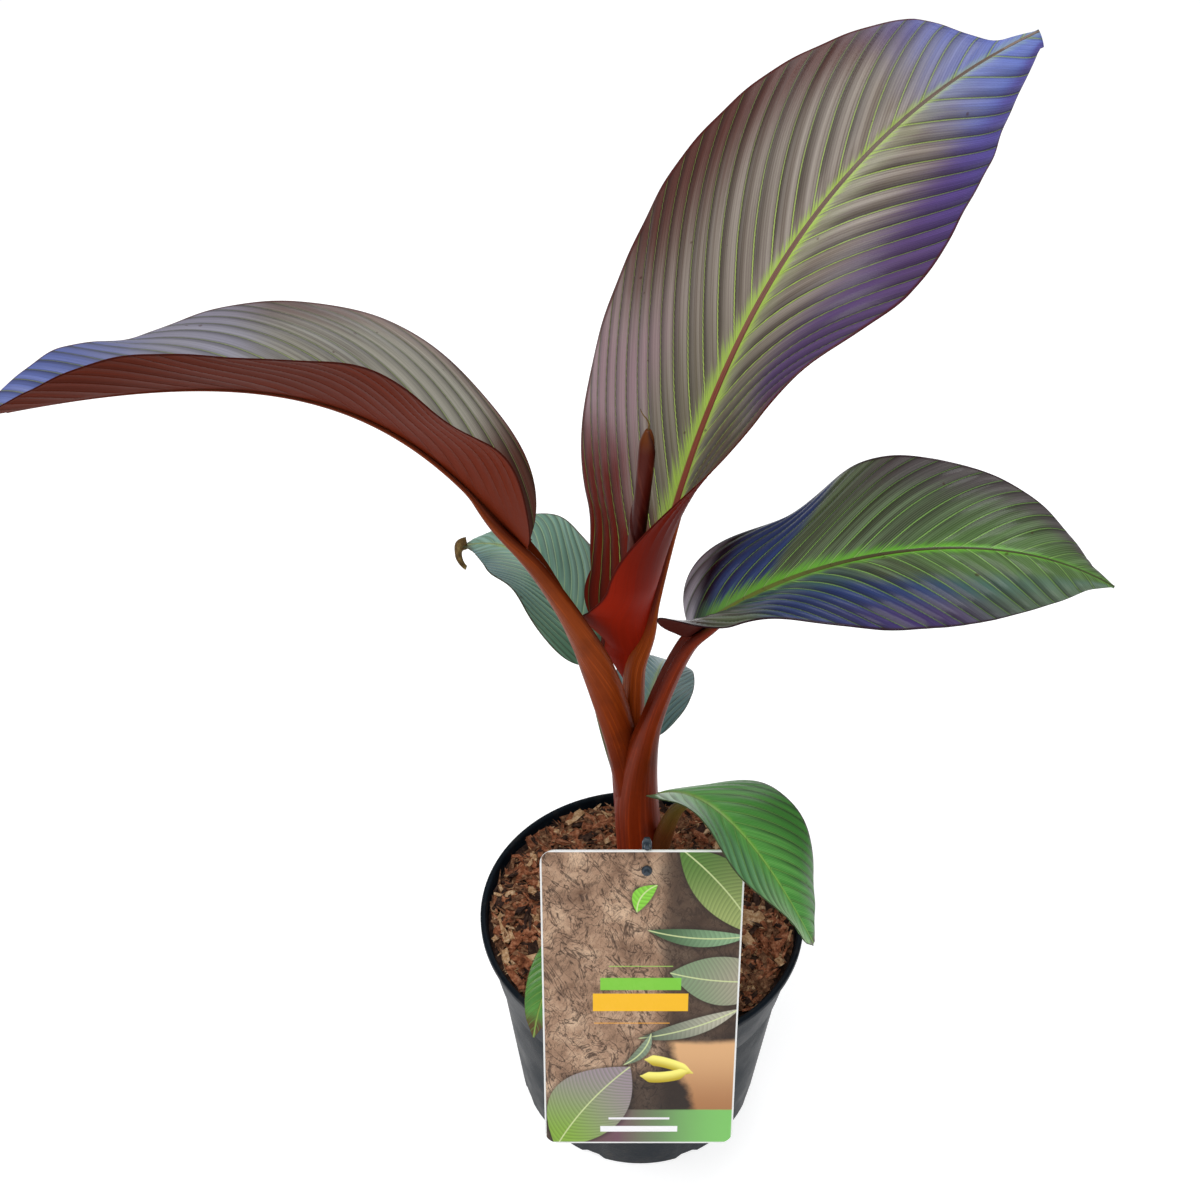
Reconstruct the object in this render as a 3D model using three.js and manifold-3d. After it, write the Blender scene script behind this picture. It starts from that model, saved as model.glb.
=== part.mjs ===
// Young red banana plant in a 17 cm nursery pot, with its plant label.
// Millimetres, +Z up, origin at the centre of the pot's flat underside, -Y is the front.
import * as THREE from 'three';
import { mergeVertices } from 'three/addons/utils/BufferGeometryUtils.js';
import Module from 'manifold-3d';

const wasm = await Module();
wasm.setup();

// ---------------------------------------------------------------- driving dimensions

const GAP = 0.35;                 // clearance between neighbouring solids

const POT = {
  height: 135,
  rimRadius: 85,
  footRadius: 67.5,
  waistRadius: 76.5,              // body just under the collar
  collarRadius: 78,               // lower edge of the collar
  collarHeight: 36,
  lipHeight: 4,
  lipOverhang: 1.5,
  wall: 1.6,
  facets: 48,
};

const SOIL = {
  drop: 3.5,                      // soil surface below the rim
  clearance: GAP + 0.2,           // between the soil and the wall's facets
  shoulder: [3.5, 1.5],           // width and height of its rounded edge
};
const SOIL_LEVEL = POT.height - SOIL.drop;

const STEM = {
  path: [[0.5, 0, SOIL_LEVEL + GAP], [0.5, 0, 160], [-4, 0, 205], [-6, 0, 238]],
  footRadius: 11.6,
  topRadius: 10.2,
  facets: 14,
  steps: 8,
};

const LABEL = {
  centre: -3,                     // the card stands a little left of the stem
  width: 92,
  height: 168,
  thickness: 0.8,
  corner: 7,
  belowRim: 58,                   // part of the card hanging below its contact with the rim
  lean: 15.5,                     // degrees, top towards the stem
  holeRadius: 1.8,
  holeOffset: 2,
  holeBelowTop: 10,
};

const STAKE = {
  width: 4.4,
  depth: 2.4,
  pinRadius: 1.4,
  headRadius: 2.6,
  headThickness: 1.6,
  aboveCard: 5,
  buried: 58,                     // length standing in the soil
  footInset: 66,                  // its foot's distance from the pot's middle
  pointShare: 0.45,               // of its width at the foot
  sink: 0.6,                      // how far it bows back behind the card
  upperPinRise: 2.5,              // upper pin above the card's edge
  pinFacets: 12,
};

const BLADE_THICKNESS = 1.0;
const BLADE_ROWS = 16;
const RIB_TAPER = [0.75, 0.8];    // share of its width and depth that a midrib loses by the tip
const RIB_SHARE = 0.4;            // most of a half-blade that the midrib takes up
const TIP_NECK = [0.9, 0.3, 0.1]; // where a half-blade narrows to its drip tip, by how much, and over what length
const HALF_COLUMNS = 4;

// A leaf is a petiole and a blade. Both follow cubic curves of four points.
// face: direction that the upper side looks in, at the blade's base and tip.
// Each half-blade has its greatest width, the fullness of its base and tip (small is blunt), a wavy
// margin (height, waves, start in radians) and stations along the midrib of [place, fold, curl]:
// fold is the angle at which it leaves the midrib, curl the angle it turns on to the margin, in degrees.
const LEAVES = [
  {
    name: 'right',
    petiole: { path: [[-6, -3, 212], [-4, -7, 258], [4, -13, 302], [17, -17, 332]], foot: [9, 7], top: [5, 4.2] },
    midrib: [[17, -17, 333], [44, -23, 372], [114, -53, 425], [168, -67, 396]],
    face: [[-0.7, -0.05, 0.7], [0.2, -0.35, 0.9]],
    left: { width: 42, base: 0.58, tip: 0.92, wave: [-1.5, 2, 0.8],
      stations: [[0, 47, -8], [0.3, 18, -52], [0.65, 44, 0], [1, -7, -23]] },
    right: { width: 48, base: 0.42, tip: 0.82, wave: [-1.5, 2, 1.1],
      stations: [[0, 47, 39], [0.3, 34, -2], [1, -16, -36]] },
    rib: [3.2, 3.4],
  },
  {
    name: 'left',
    petiole: { path: [[-6, 0, 212], [-13, -3, 285], [-30, -6, 332], [-53, -4, 369]], foot: [9, 6.5], top: [6.2, 5] },
    midrib: [[-53, -4, 370], [-103, 12, 432], [-139, -13, 465], [-243, -45, 455]],
    face: [[-0.28, 0.07, 0.96], [0, 0.22, 0.98]],
    left: { width: 54, base: 0.5, tip: 0.65, wave: [2.3, 3, -1.7],
      stations: [[0, 52, 5], [0.4, 29, -4], [1, 30, 12]] },
    right: { width: 57, base: 0.62, tip: 0.59, wave: [-1.4, 3, -1.4],
      stations: [[0, 49, -27], [0.4, 45, -17], [0.8, 29, -27], [1, 40, -11]] },
    rib: [4, 2.8],
  },
  {
    name: 'upright',
    petiole: { path: [[-6, 2, 216], [-7, 5, 246], [-7, 7, 274], [-6, 8, 299]], foot: [8, 6], top: [5.6, 4.6] },
    midrib: [[-6, 8, 300], [6, 6, 348], [21, 61, 501], [150, 89, 551]],
    face: [[-0.77, -0.41, 0.5], [0.24, -0.6, 0.76]],
    left: { width: 78, base: 0.9, tip: 0.85, wave: [0, 3, 0], neck: [0.91, 0.75, 0.06],
      stations: [[0, 35, -10], [0.25, 1, -9], [0.6, -14, -14], [1, 3, -9]] },
    right: { width: 56, base: 0.53, tip: 0.45, wave: [-1.7, 2.5, -3.6],
      stations: [[0, 95, 95], [0.22, 36, 75], [0.5, 39, 16], [1, -14, -42]] },
    rib: [4, 4.2],
  },
  {
    name: 'back_left',
    petiole: { path: [[-5, 4, 205], [-14, 10, 232], [-22, 15, 258], [-25, 24, 280]], foot: [5, 4], top: [3, 2.6] },
    midrib: [[-25, 25, 281], [-40, 56, 311], [-62, 89, 313], [-90, 82, 310]],
    face: [[0.2, -0.3, 0.93], [-0.2, -0.37, 0.91]],
    left: { width: 31, base: 0.43, tip: 0.65, wave: [0.7, 3, 1],
      stations: [[0, 27, -10], [0.4, 34, 2], [1, 34, 0]] },
    right: { width: 28, base: 0.42, tip: 0.64, wave: [0.6, 3, 0],
      stations: [[0, 45, 0], [0.4, 42, 4], [1, -29, -37]] },
    rib: [2, 2.2],
  },
  {
    name: 'back_right',
    petiole: { path: [[-1, 4, 180], [0, 12, 205], [0, 18, 218], [1, 28, 228]], foot: [5, 4], top: [2.8, 2.4] },
    midrib: [[1, 29, 229], [3, 50, 243], [10, 82, 236], [14, 104, 218]],
    face: [[0, -0.4, 0.9], [0.2, 0.3, 0.9]],
    left: { width: 21, base: 0.45, tip: 0.6, wave: [0.8, 3, 0],
      stations: [[0, 25, 0], [0.4, 15, -10], [1, 10, -10]] },
    right: { width: 21, base: 0.45, tip: 0.6, wave: [0.8, 3, 1],
      stations: [[0, 25, 0], [0.4, 15, -10], [1, 10, -10]] },
    rib: [1.8, 2],
  },
  {
    name: 'low_right',
    petiole: { path: [[3, -3, 150], [8, -7, 190], [10, -12, 212], [15, -24, 236]], foot: [6.5, 5], top: [3, 2.6] },
    midrib: [[5, -18, 238], [31, -38, 270], [56, -79, 247], [72, -87, 215]],
    face: [[0.21, -0.1, 0.97], [0.5, -0.4, 0.76]],
    left: { width: 32, base: 0.55, tip: 0.6, wave: [1.2, 2, 0.2],
      stations: [[0, -16, -25], [0.4, 16, -22], [1, -7, -20]] },
    right: { width: 24, base: 0.44, tip: 0.6, wave: [-2.8, 2, 0.1],
      stations: [[0, 20, 8], [0.4, 24, 5], [1, 26, 13]] },
    rib: [1.8, 2],
  },
  {
    name: 'low_left',
    petiole: { path: [[-3, -6, 138], [-9, -13, 145], [-14, -20, 151], [-20, -28, 156]], foot: [4.5, 3.5], top: [2.4, 2] },
    midrib: [[-20, -28, 156], [-32, -46, 166], [-50, -66, 168], [-54, -79, 134]],
    face: [[0, 0.1, 1], [-0.3, -0.9, 0.3]],
    left: { width: 13, base: 0.5, tip: 0.7, wave: [0.5, 2, 0],
      stations: [[0, 10, 0], [0.5, 15, -15], [1, 15, 10]] },
    right: { width: 13, base: 0.5, tip: 0.7, wave: [0.5, 2, 1],
      stations: [[0, 10, 0], [0.5, 15, -15], [1, 15, 10]] },
    rib: [1.4, 1.6],
  },
];

const SPEAR = { path: [[-9, -2, 318], [-7, -5, 355], [-5, -7, 392], [-2, -6, 424]], foot: 2.8, tip: 1.6, facets: 8 };

// ---------------------------------------------------------------- small helpers

const vector = (point) => new THREE.Vector3(...point);
const radians = THREE.MathUtils.degToRad;
const curveOf = (points) => new THREE.CubicBezierCurve3(...points.map(vector));
const smooth = (x) => THREE.MathUtils.smoothstep(x, 0, 1);

// Value of column `field` of the stations at place t, eased from one station to the next.
function atStation(stations, t, field) {
  let value = stations[0][field];
  for (let i = 1; i < stations.length; i += 1) {
    const [from, to] = [stations[i - 1], stations[i]];
    value += (to[field] - from[field]) * smooth((t - from[0]) / (to[0] - from[0]));
  }
  return value;
}

// Half-width of a blade as a fraction of its greatest: blunt or pointed by the two fullness values.
function outline(half, t) {
  const widest = half.base / (half.base + half.tip);
  const place = THREE.MathUtils.clamp(t, 0.004, 0.995);
  const [neck, share, length] = half.neck ?? TIP_NECK;
  const narrowing = 1 - share * smooth((place - neck) / length);
  return (place / widest) ** half.base * ((1 - place) / (1 - widest)) ** half.tip * narrowing;
}

// ---------------------------------------------------------------- leaves

// Point of the blade's middle surface at t along the midrib and u across, -1 left to 1 right.
function bladePoint(leaf, curve, t, u) {
  const tangent = curve.getTangent(t);
  const face = vector(leaf.face[0]).normalize().lerp(vector(leaf.face[1]).normalize(), smooth(t));
  const up = face.addScaledVector(tangent, -face.dot(tangent)).normalize();
  const across = new THREE.Vector3().crossVectors(tangent, up);
  const half = u < 0 ? leaf.left : leaf.right;
  const reach = Math.abs(u);
  const width = half.width * outline(half, t);
  const fold = radians(atStation(half.stations, t, 1));
  const turn = radians(atStation(half.stations, t, 2)) || 1e-6;
  const end = fold + turn * reach;
  let out = (Math.sin(end) - Math.sin(fold)) / turn * width;
  let rise = (Math.cos(fold) - Math.cos(end)) / turn * width;
  const [height, waves, start] = half.wave;
  const fade = Math.min(1, 4 * t) * Math.min(1, 5 * (1 - t));
  const ripple = height * reach * reach * fade * Math.sin(2 * Math.PI * waves * t + start);
  out -= ripple * Math.sin(end);
  rise += ripple * Math.cos(end);
  return curve.getPoint(t).addScaledVector(across, Math.sign(u) * out).addScaledVector(up, rise);
}

// Unit normal of the upper side, from small steps along and across.
function bladeNormal(leaf, curve, t, u) {
  const step = 0.01;
  const [t0, t1] = [Math.max(0, t - step), Math.min(1, t + step)];
  const [u0, u1] = [Math.max(-1, u - step), Math.min(1, u + step)];
  const along = bladePoint(leaf, curve, t1, u).sub(bladePoint(leaf, curve, t0, u));
  const across = bladePoint(leaf, curve, t, u1).sub(bladePoint(leaf, curve, t, u0));
  return across.cross(along).normalize();
}

// Splits a box's back quads along the diagonals of its front ones, so that a twisted blade keeps its thickness.
function matchDiagonals(box) {
  const corners = box.index.array;
  const back = box.groups[5];
  for (let i = back.start; i < back.start + back.count; i += 6) {
    const [a, b, d, , c] = corners.slice(i, i + 5);
    corners.set([a, b, c, a, c, d], i);
  }
}

// A flat box, divided into rows and columns, bent into the blade with the midrib thickened below.
function bladeGeometry(leaf) {
  const curve = curveOf(leaf.midrib);
  const box = new THREE.BoxGeometry(2, 1, 1, 2 * HALF_COLUMNS, BLADE_ROWS, 1);
  matchDiagonals(box);
  const places = box.attributes.position;
  for (let i = 0; i < places.count; i += 1) {
    const t = places.getY(i) + 0.5;
    const column = places.getX(i);
    const ribWidth = leaf.rib[0] * (1 - RIB_TAPER[0] * t);
    const bladeWidth = Math.min(leaf.left.width * outline(leaf.left, t), leaf.right.width * outline(leaf.right, t));
    const inner = Math.min(RIB_SHARE, ribWidth / bladeWidth);
    const reach = Math.abs(column) * HALF_COLUMNS;
    const u = reach <= 1 ? reach * inner : inner + (reach - 1) / (HALF_COLUMNS - 1) * (1 - inner);
    const side = places.getZ(i) > 0 ? 0.5 : -0.5;
    const isRib = reach < 0.5 && side < 0;
    const depth = BLADE_THICKNESS / 2 + (isRib ? leaf.rib[1] * (1 - RIB_TAPER[1] * t) : 0);
    const point = bladePoint(leaf, curve, t, Math.sign(column) * u);
    const normal = bladeNormal(leaf, curve, t, Math.sign(column) * u);
    point.addScaledVector(normal, side > 0 ? depth : -depth);
    places.setXYZ(i, point.x, point.y, point.z);
  }
  return weld(box);
}

// A cylinder bent along a curve, with half-width and half-depth changing from foot to top.
function limbGeometry({ path, foot, top, facets = 10, steps = 8, grow = 0, facing = [0, -1, 0] }) {
  const curve = curveOf(path);
  const cylinder = new THREE.CylinderGeometry(1, 1, 1, facets, steps);
  const places = cylinder.attributes.position;
  for (let i = 0; i < places.count; i += 1) {
    const t = places.getY(i) + 0.5;
    const tangent = curve.getTangent(t);
    const depthWay = vector(facing).addScaledVector(tangent, -vector(facing).dot(tangent)).normalize();
    const widthWay = new THREE.Vector3().crossVectors(tangent, depthWay);
    const halfWidth = THREE.MathUtils.lerp(foot[0], top[0], t) + grow;
    const halfDepth = THREE.MathUtils.lerp(foot[1], top[1], t) + grow;
    const point = curve.getPoint(t);
    point.addScaledVector(widthWay, places.getX(i) * halfWidth);
    point.addScaledVector(depthWay, places.getZ(i) * halfDepth);
    places.setXYZ(i, point.x, point.y, point.z);
  }
  return weld(cylinder);
}

// ---------------------------------------------------------------- closed meshes and cutting

// Bare, merged geometry with faces pointing out.
function weld(geometry) {
  geometry.deleteAttribute('normal');
  geometry.deleteAttribute('uv');
  geometry.clearGroups();
  const merged = mergeVertices(geometry, 1e-4);
  const [places, index] = [merged.attributes.position, merged.index];
  const corners = [new THREE.Vector3(), new THREE.Vector3(), new THREE.Vector3()];
  let volume = 0;
  const kept = [];
  for (let i = 0; i < index.count; i += 3) {
    const triple = [index.getX(i), index.getX(i + 1), index.getX(i + 2)];
    if (new Set(triple).size < 3) continue;
    kept.push(...triple);
    triple.forEach((vertex, k) => corners[k].fromBufferAttribute(places, vertex));
    volume += corners[0].dot(corners[1].clone().cross(corners[2]));
  }
  if (volume < 0) kept.reverse();
  merged.setIndex(kept);
  return merged;
}

function solidOf(geometry) {
  return new wasm.Manifold(new wasm.Mesh({
    numProp: 3,
    vertProperties: new Float32Array(geometry.attributes.position.array),
    triVerts: new Uint32Array(geometry.index.array),
  }));
}

function geometryOf(solid) {
  const mesh = solid.getMesh();
  const geometry = new THREE.BufferGeometry();
  geometry.setAttribute('position', new THREE.BufferAttribute(new Float32Array(mesh.vertProperties), 3));
  geometry.setIndex(new THREE.BufferAttribute(new Uint32Array(mesh.triVerts), 1));
  return geometry;
}

// What is left of a solid after its neighbours are cut away: its largest piece.
function cutAway(solid, neighbours) {
  let left = solid;
  for (const neighbour of neighbours) left = left.subtract(neighbour);
  return left.decompose().sort((a, b) => b.volume() - a.volume())[0];
}

// ---------------------------------------------------------------- pot, soil and label

function potGeometry() {
  const { height, rimRadius, footRadius, waistRadius, collarRadius, collarHeight, wall, facets } = POT;
  const step = height - collarHeight;
  const lip = height - POT.lipHeight;
  const neck = rimRadius - POT.lipOverhang;
  const profile = [
    [0, 0], [footRadius, 0], [waistRadius, step], [collarRadius, step], [neck, lip], [rimRadius, lip],
    [rimRadius, height], [neck - wall, height], [collarRadius - wall, step + wall],
    [waistRadius - wall, step - wall], [footRadius - wall, wall], [0, wall],
  ];
  const lathe = new THREE.LatheGeometry(profile.map(([r, z]) => new THREE.Vector2(r, z)), facets);
  lathe.rotateX(Math.PI / 2);
  return weld(lathe);
}

function rootBallGeometry() {
  const { height, footRadius, waistRadius, collarRadius, collarHeight, rimRadius, wall, facets } = POT;
  const inset = wall + SOIL.clearance;
  const floor = wall + GAP;
  const step = height - collarHeight;
  const soilShare = (SOIL_LEVEL - step) / collarHeight;
  const soilRadius = THREE.MathUtils.lerp(collarRadius, rimRadius - POT.lipOverhang, soilShare) - inset - GAP;
  const [shoulderWidth, shoulderHeight] = SOIL.shoulder;
  const profile = [
    [0, floor], [footRadius - inset, floor], [waistRadius - inset, step - wall],
    [collarRadius - inset - GAP, step + wall + SOIL.clearance], [soilRadius, SOIL_LEVEL - shoulderHeight],
    [soilRadius - shoulderWidth, SOIL_LEVEL], [0, SOIL_LEVEL],
  ];
  const lathe = new THREE.LatheGeometry(profile.map(([r, z]) => new THREE.Vector2(r, z)), facets);
  lathe.rotateX(Math.PI / 2);
  return weld(lathe);
}

// Frame of the leaning card: its own x across, y up the card, z towards the front.
function labelFrame() {
  const lean = radians(LABEL.lean);
  const up = new THREE.Vector3(0, Math.sin(lean), Math.cos(lean));
  const front = new THREE.Vector3(0, -Math.cos(lean), Math.sin(lean));
  const contact = new THREE.Vector3(LABEL.centre, -POT.rimRadius, POT.height).addScaledVector(front, GAP);
  const foot = contact.addScaledVector(up, -LABEL.belowRim);
  return new THREE.Matrix4().makeBasis(new THREE.Vector3(1, 0, 0), up, front).setPosition(foot);
}

function cardGeometry() {
  const { width, height, thickness, corner, holeRadius, holeOffset, holeBelowTop } = LABEL;
  const [x, y] = [width / 2, height];
  const outlineShape = new THREE.Shape();
  outlineShape.moveTo(-x + corner, 0).lineTo(x - corner, 0).absarc(x - corner, corner, corner, -Math.PI / 2, 0);
  outlineShape.lineTo(x, y - corner).absarc(x - corner, y - corner, corner, 0, Math.PI / 2);
  outlineShape.lineTo(-x + corner, y).absarc(-x + corner, y - corner, corner, Math.PI / 2, Math.PI);
  outlineShape.lineTo(-x, corner).absarc(-x + corner, corner, corner, Math.PI, 1.5 * Math.PI);
  outlineShape.holes.push(new THREE.Path().absarc(holeOffset, y - holeBelowTop, holeRadius, 0, 2 * Math.PI));
  const card = new THREE.ExtrudeGeometry(outlineShape, { depth: thickness, bevelEnabled: false, curveSegments: 4 });
  card.applyMatrix4(labelFrame());
  return weld(card);
}

// Rod behind the card, standing in the soil, with a pin through the card and one above its top edge.
function stakeSolid(clearance) {
  const { width, depth, pinRadius, headRadius, headThickness, aboveCard, buried } = STAKE;
  const { height, thickness, holeOffset, holeBelowTop, centre } = LABEL;
  const frame = labelFrame();
  const onCard = (x, y, z) => new THREE.Vector3(x, y, z).applyMatrix4(frame);
  const behind = -GAP - depth / 2;
  const top = onCard(holeOffset, height + aboveCard, behind - clearance);
  const middle = onCard(holeOffset, height - 2 * holeBelowTop, behind - STAKE.sink);
  const foot = new THREE.Vector3(centre + holeOffset, -STAKE.footInset, SOIL_LEVEL - buried);
  const rod = new THREE.BoxGeometry(width + 2 * clearance, depth + 2 * clearance, 1, 1, 1, 2);
  const places = rod.attributes.position;
  for (let i = 0; i < places.count; i += 1) {
    const level = [foot, middle, top][Math.round(2 * (places.getZ(i) + 0.5))];
    const narrow = level === foot ? STAKE.pointShare : 1;
    places.setXYZ(i, level.x + places.getX(i) * narrow, level.y + places.getY(i) * narrow, level.z);
  }
  let solid = solidOf(weld(rod));
  const face = thickness + GAP;
  const pins = [
    { at: height - holeBelowTop, back: behind, radius: pinRadius },
    { at: height - holeBelowTop, back: face, radius: headRadius },
    { at: height + STAKE.upperPinRise, back: behind, radius: pinRadius },
  ];
  for (const pin of pins) {
    const length = face + headThickness - pin.back;
    const shaft = new THREE.CylinderGeometry(pin.radius, pin.radius, length, STAKE.pinFacets);
    shaft.rotateX(Math.PI / 2).translate(holeOffset, pin.at, pin.back + length / 2).applyMatrix4(frame);
    solid = solid.add(solidOf(weld(shaft)));
  }
  return solid;
}

// ---------------------------------------------------------------- the plant

const COLOURS = {
  pot: [0x23272e, 0.5],
  soil: [0x5b3424, 0.95],
  stem: [0x5a2113, 0.5],
  petiole: [0x7a3215, 0.45],
  redBlade: [0x4a3a38, 0.4],
  greenBlade: [0x3f7a2e, 0.45],
  spear: [0x5a1a18, 0.45],
  card: [0x7c5a3f, 0.35],
  stake: [0x22272b, 0.5],
};

const plant = new THREE.Group();

function addPiece(name, geometry, colourName) {
  const [color, roughness] = COLOURS[colourName];
  const mesh = new THREE.Mesh(geometry, new THREE.MeshStandardMaterial({ color, roughness, metalness: 0 }));
  mesh.name = name;
  plant.add(mesh);
}

const stemShape = {
  path: STEM.path,
  foot: [STEM.footRadius, STEM.footRadius],
  top: [STEM.topRadius, STEM.topRadius],
  facets: STEM.facets,
  steps: STEM.steps,
};
addPiece('pot', potGeometry(), 'pot');
const grownStake = stakeSolid(GAP);
addPiece('root_ball', geometryOf(cutAway(solidOf(rootBallGeometry()), [grownStake])), 'soil');
addPiece('pseudostem', limbGeometry(stemShape), 'stem');
addPiece('label_card', cardGeometry(), 'card');
addPiece('label_stake', geometryOf(stakeSolid(0)), 'stake');

// Petioles are cut by the stem and by the petioles that wrap in front of them.
const grownLimbs = [solidOf(limbGeometry({ ...stemShape, grow: GAP }))];
for (const leaf of LEAVES) {
  const whole = solidOf(limbGeometry(leaf.petiole));
  addPiece(`petiole_${leaf.name}`, geometryOf(cutAway(whole, grownLimbs)), 'petiole');
  grownLimbs.push(solidOf(limbGeometry({ ...leaf.petiole, grow: GAP })));
}
const spear = { path: SPEAR.path, foot: [SPEAR.foot, SPEAR.foot], top: [SPEAR.tip, SPEAR.tip], facets: SPEAR.facets };
addPiece('spear', geometryOf(cutAway(solidOf(limbGeometry(spear)), grownLimbs)), 'spear');
const grownSpear = solidOf(limbGeometry({ ...spear, grow: GAP }));
for (const leaf of LEAVES) {
  const green = leaf.name.startsWith('low') || leaf.name.startsWith('back');
  const blade = cutAway(solidOf(bladeGeometry(leaf)), [...grownLimbs, grownSpear]);
  addPiece(`blade_${leaf.name}`, geometryOf(blade), green ? 'greenBlade' : 'redBlade');
}

export default plant;
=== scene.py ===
"""Looks of a young red banana plant in its nursery pot, with its plant label."""

import math
import random

import bmesh
import bpy
import numpy as np
from bpy.props import FloatProperty, FloatVectorProperty, IntProperty, PointerProperty
from mathutils import Matrix, Vector


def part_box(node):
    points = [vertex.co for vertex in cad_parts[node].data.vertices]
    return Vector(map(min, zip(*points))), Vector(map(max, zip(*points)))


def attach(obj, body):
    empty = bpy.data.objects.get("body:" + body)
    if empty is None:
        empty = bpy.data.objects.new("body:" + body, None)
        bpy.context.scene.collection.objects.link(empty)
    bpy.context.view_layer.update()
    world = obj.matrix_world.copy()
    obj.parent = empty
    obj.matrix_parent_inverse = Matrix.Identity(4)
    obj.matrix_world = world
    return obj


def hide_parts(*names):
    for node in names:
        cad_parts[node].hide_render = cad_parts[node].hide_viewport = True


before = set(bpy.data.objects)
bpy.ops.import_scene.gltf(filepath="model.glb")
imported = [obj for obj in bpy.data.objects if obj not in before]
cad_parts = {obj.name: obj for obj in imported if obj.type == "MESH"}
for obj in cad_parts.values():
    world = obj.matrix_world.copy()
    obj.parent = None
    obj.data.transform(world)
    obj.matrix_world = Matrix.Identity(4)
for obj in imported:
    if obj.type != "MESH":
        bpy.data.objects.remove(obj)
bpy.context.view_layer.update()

bl_info = {
    "name": "Red Banana Plant",
    "version": (1, 0, 0),
    "blender": (4, 5, 0),
    "location": "View3D > Sidebar > Plant",
    "description": "Makes a potted red banana plant, piece by piece",
    "category": "Add Mesh",
}

MM = 0.001                        # plant dimensions below are in millimetres
POT_BOX = [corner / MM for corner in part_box("pot")]
POT_HEIGHT = POT_BOX[1].z
RIM_RADIUS = POT_BOX[1].x
SOIL_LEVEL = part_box("root_ball")[1].z / MM


# ---------------------------------------------------------------- the leaves' measures

TIP_NECK = (0.9, 0.3, 0.1)        # where a half-blade narrows to its drip tip, by how much, over what length
VALLEY = 2.2                      # how softly the two halves of a blade meet at its midrib
WING_ROWS = 0.09                  # share of a winged blade's rows that lie along its petiole
WING_END = 0.14                   # place along the midrib where the wing has its full width

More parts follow.
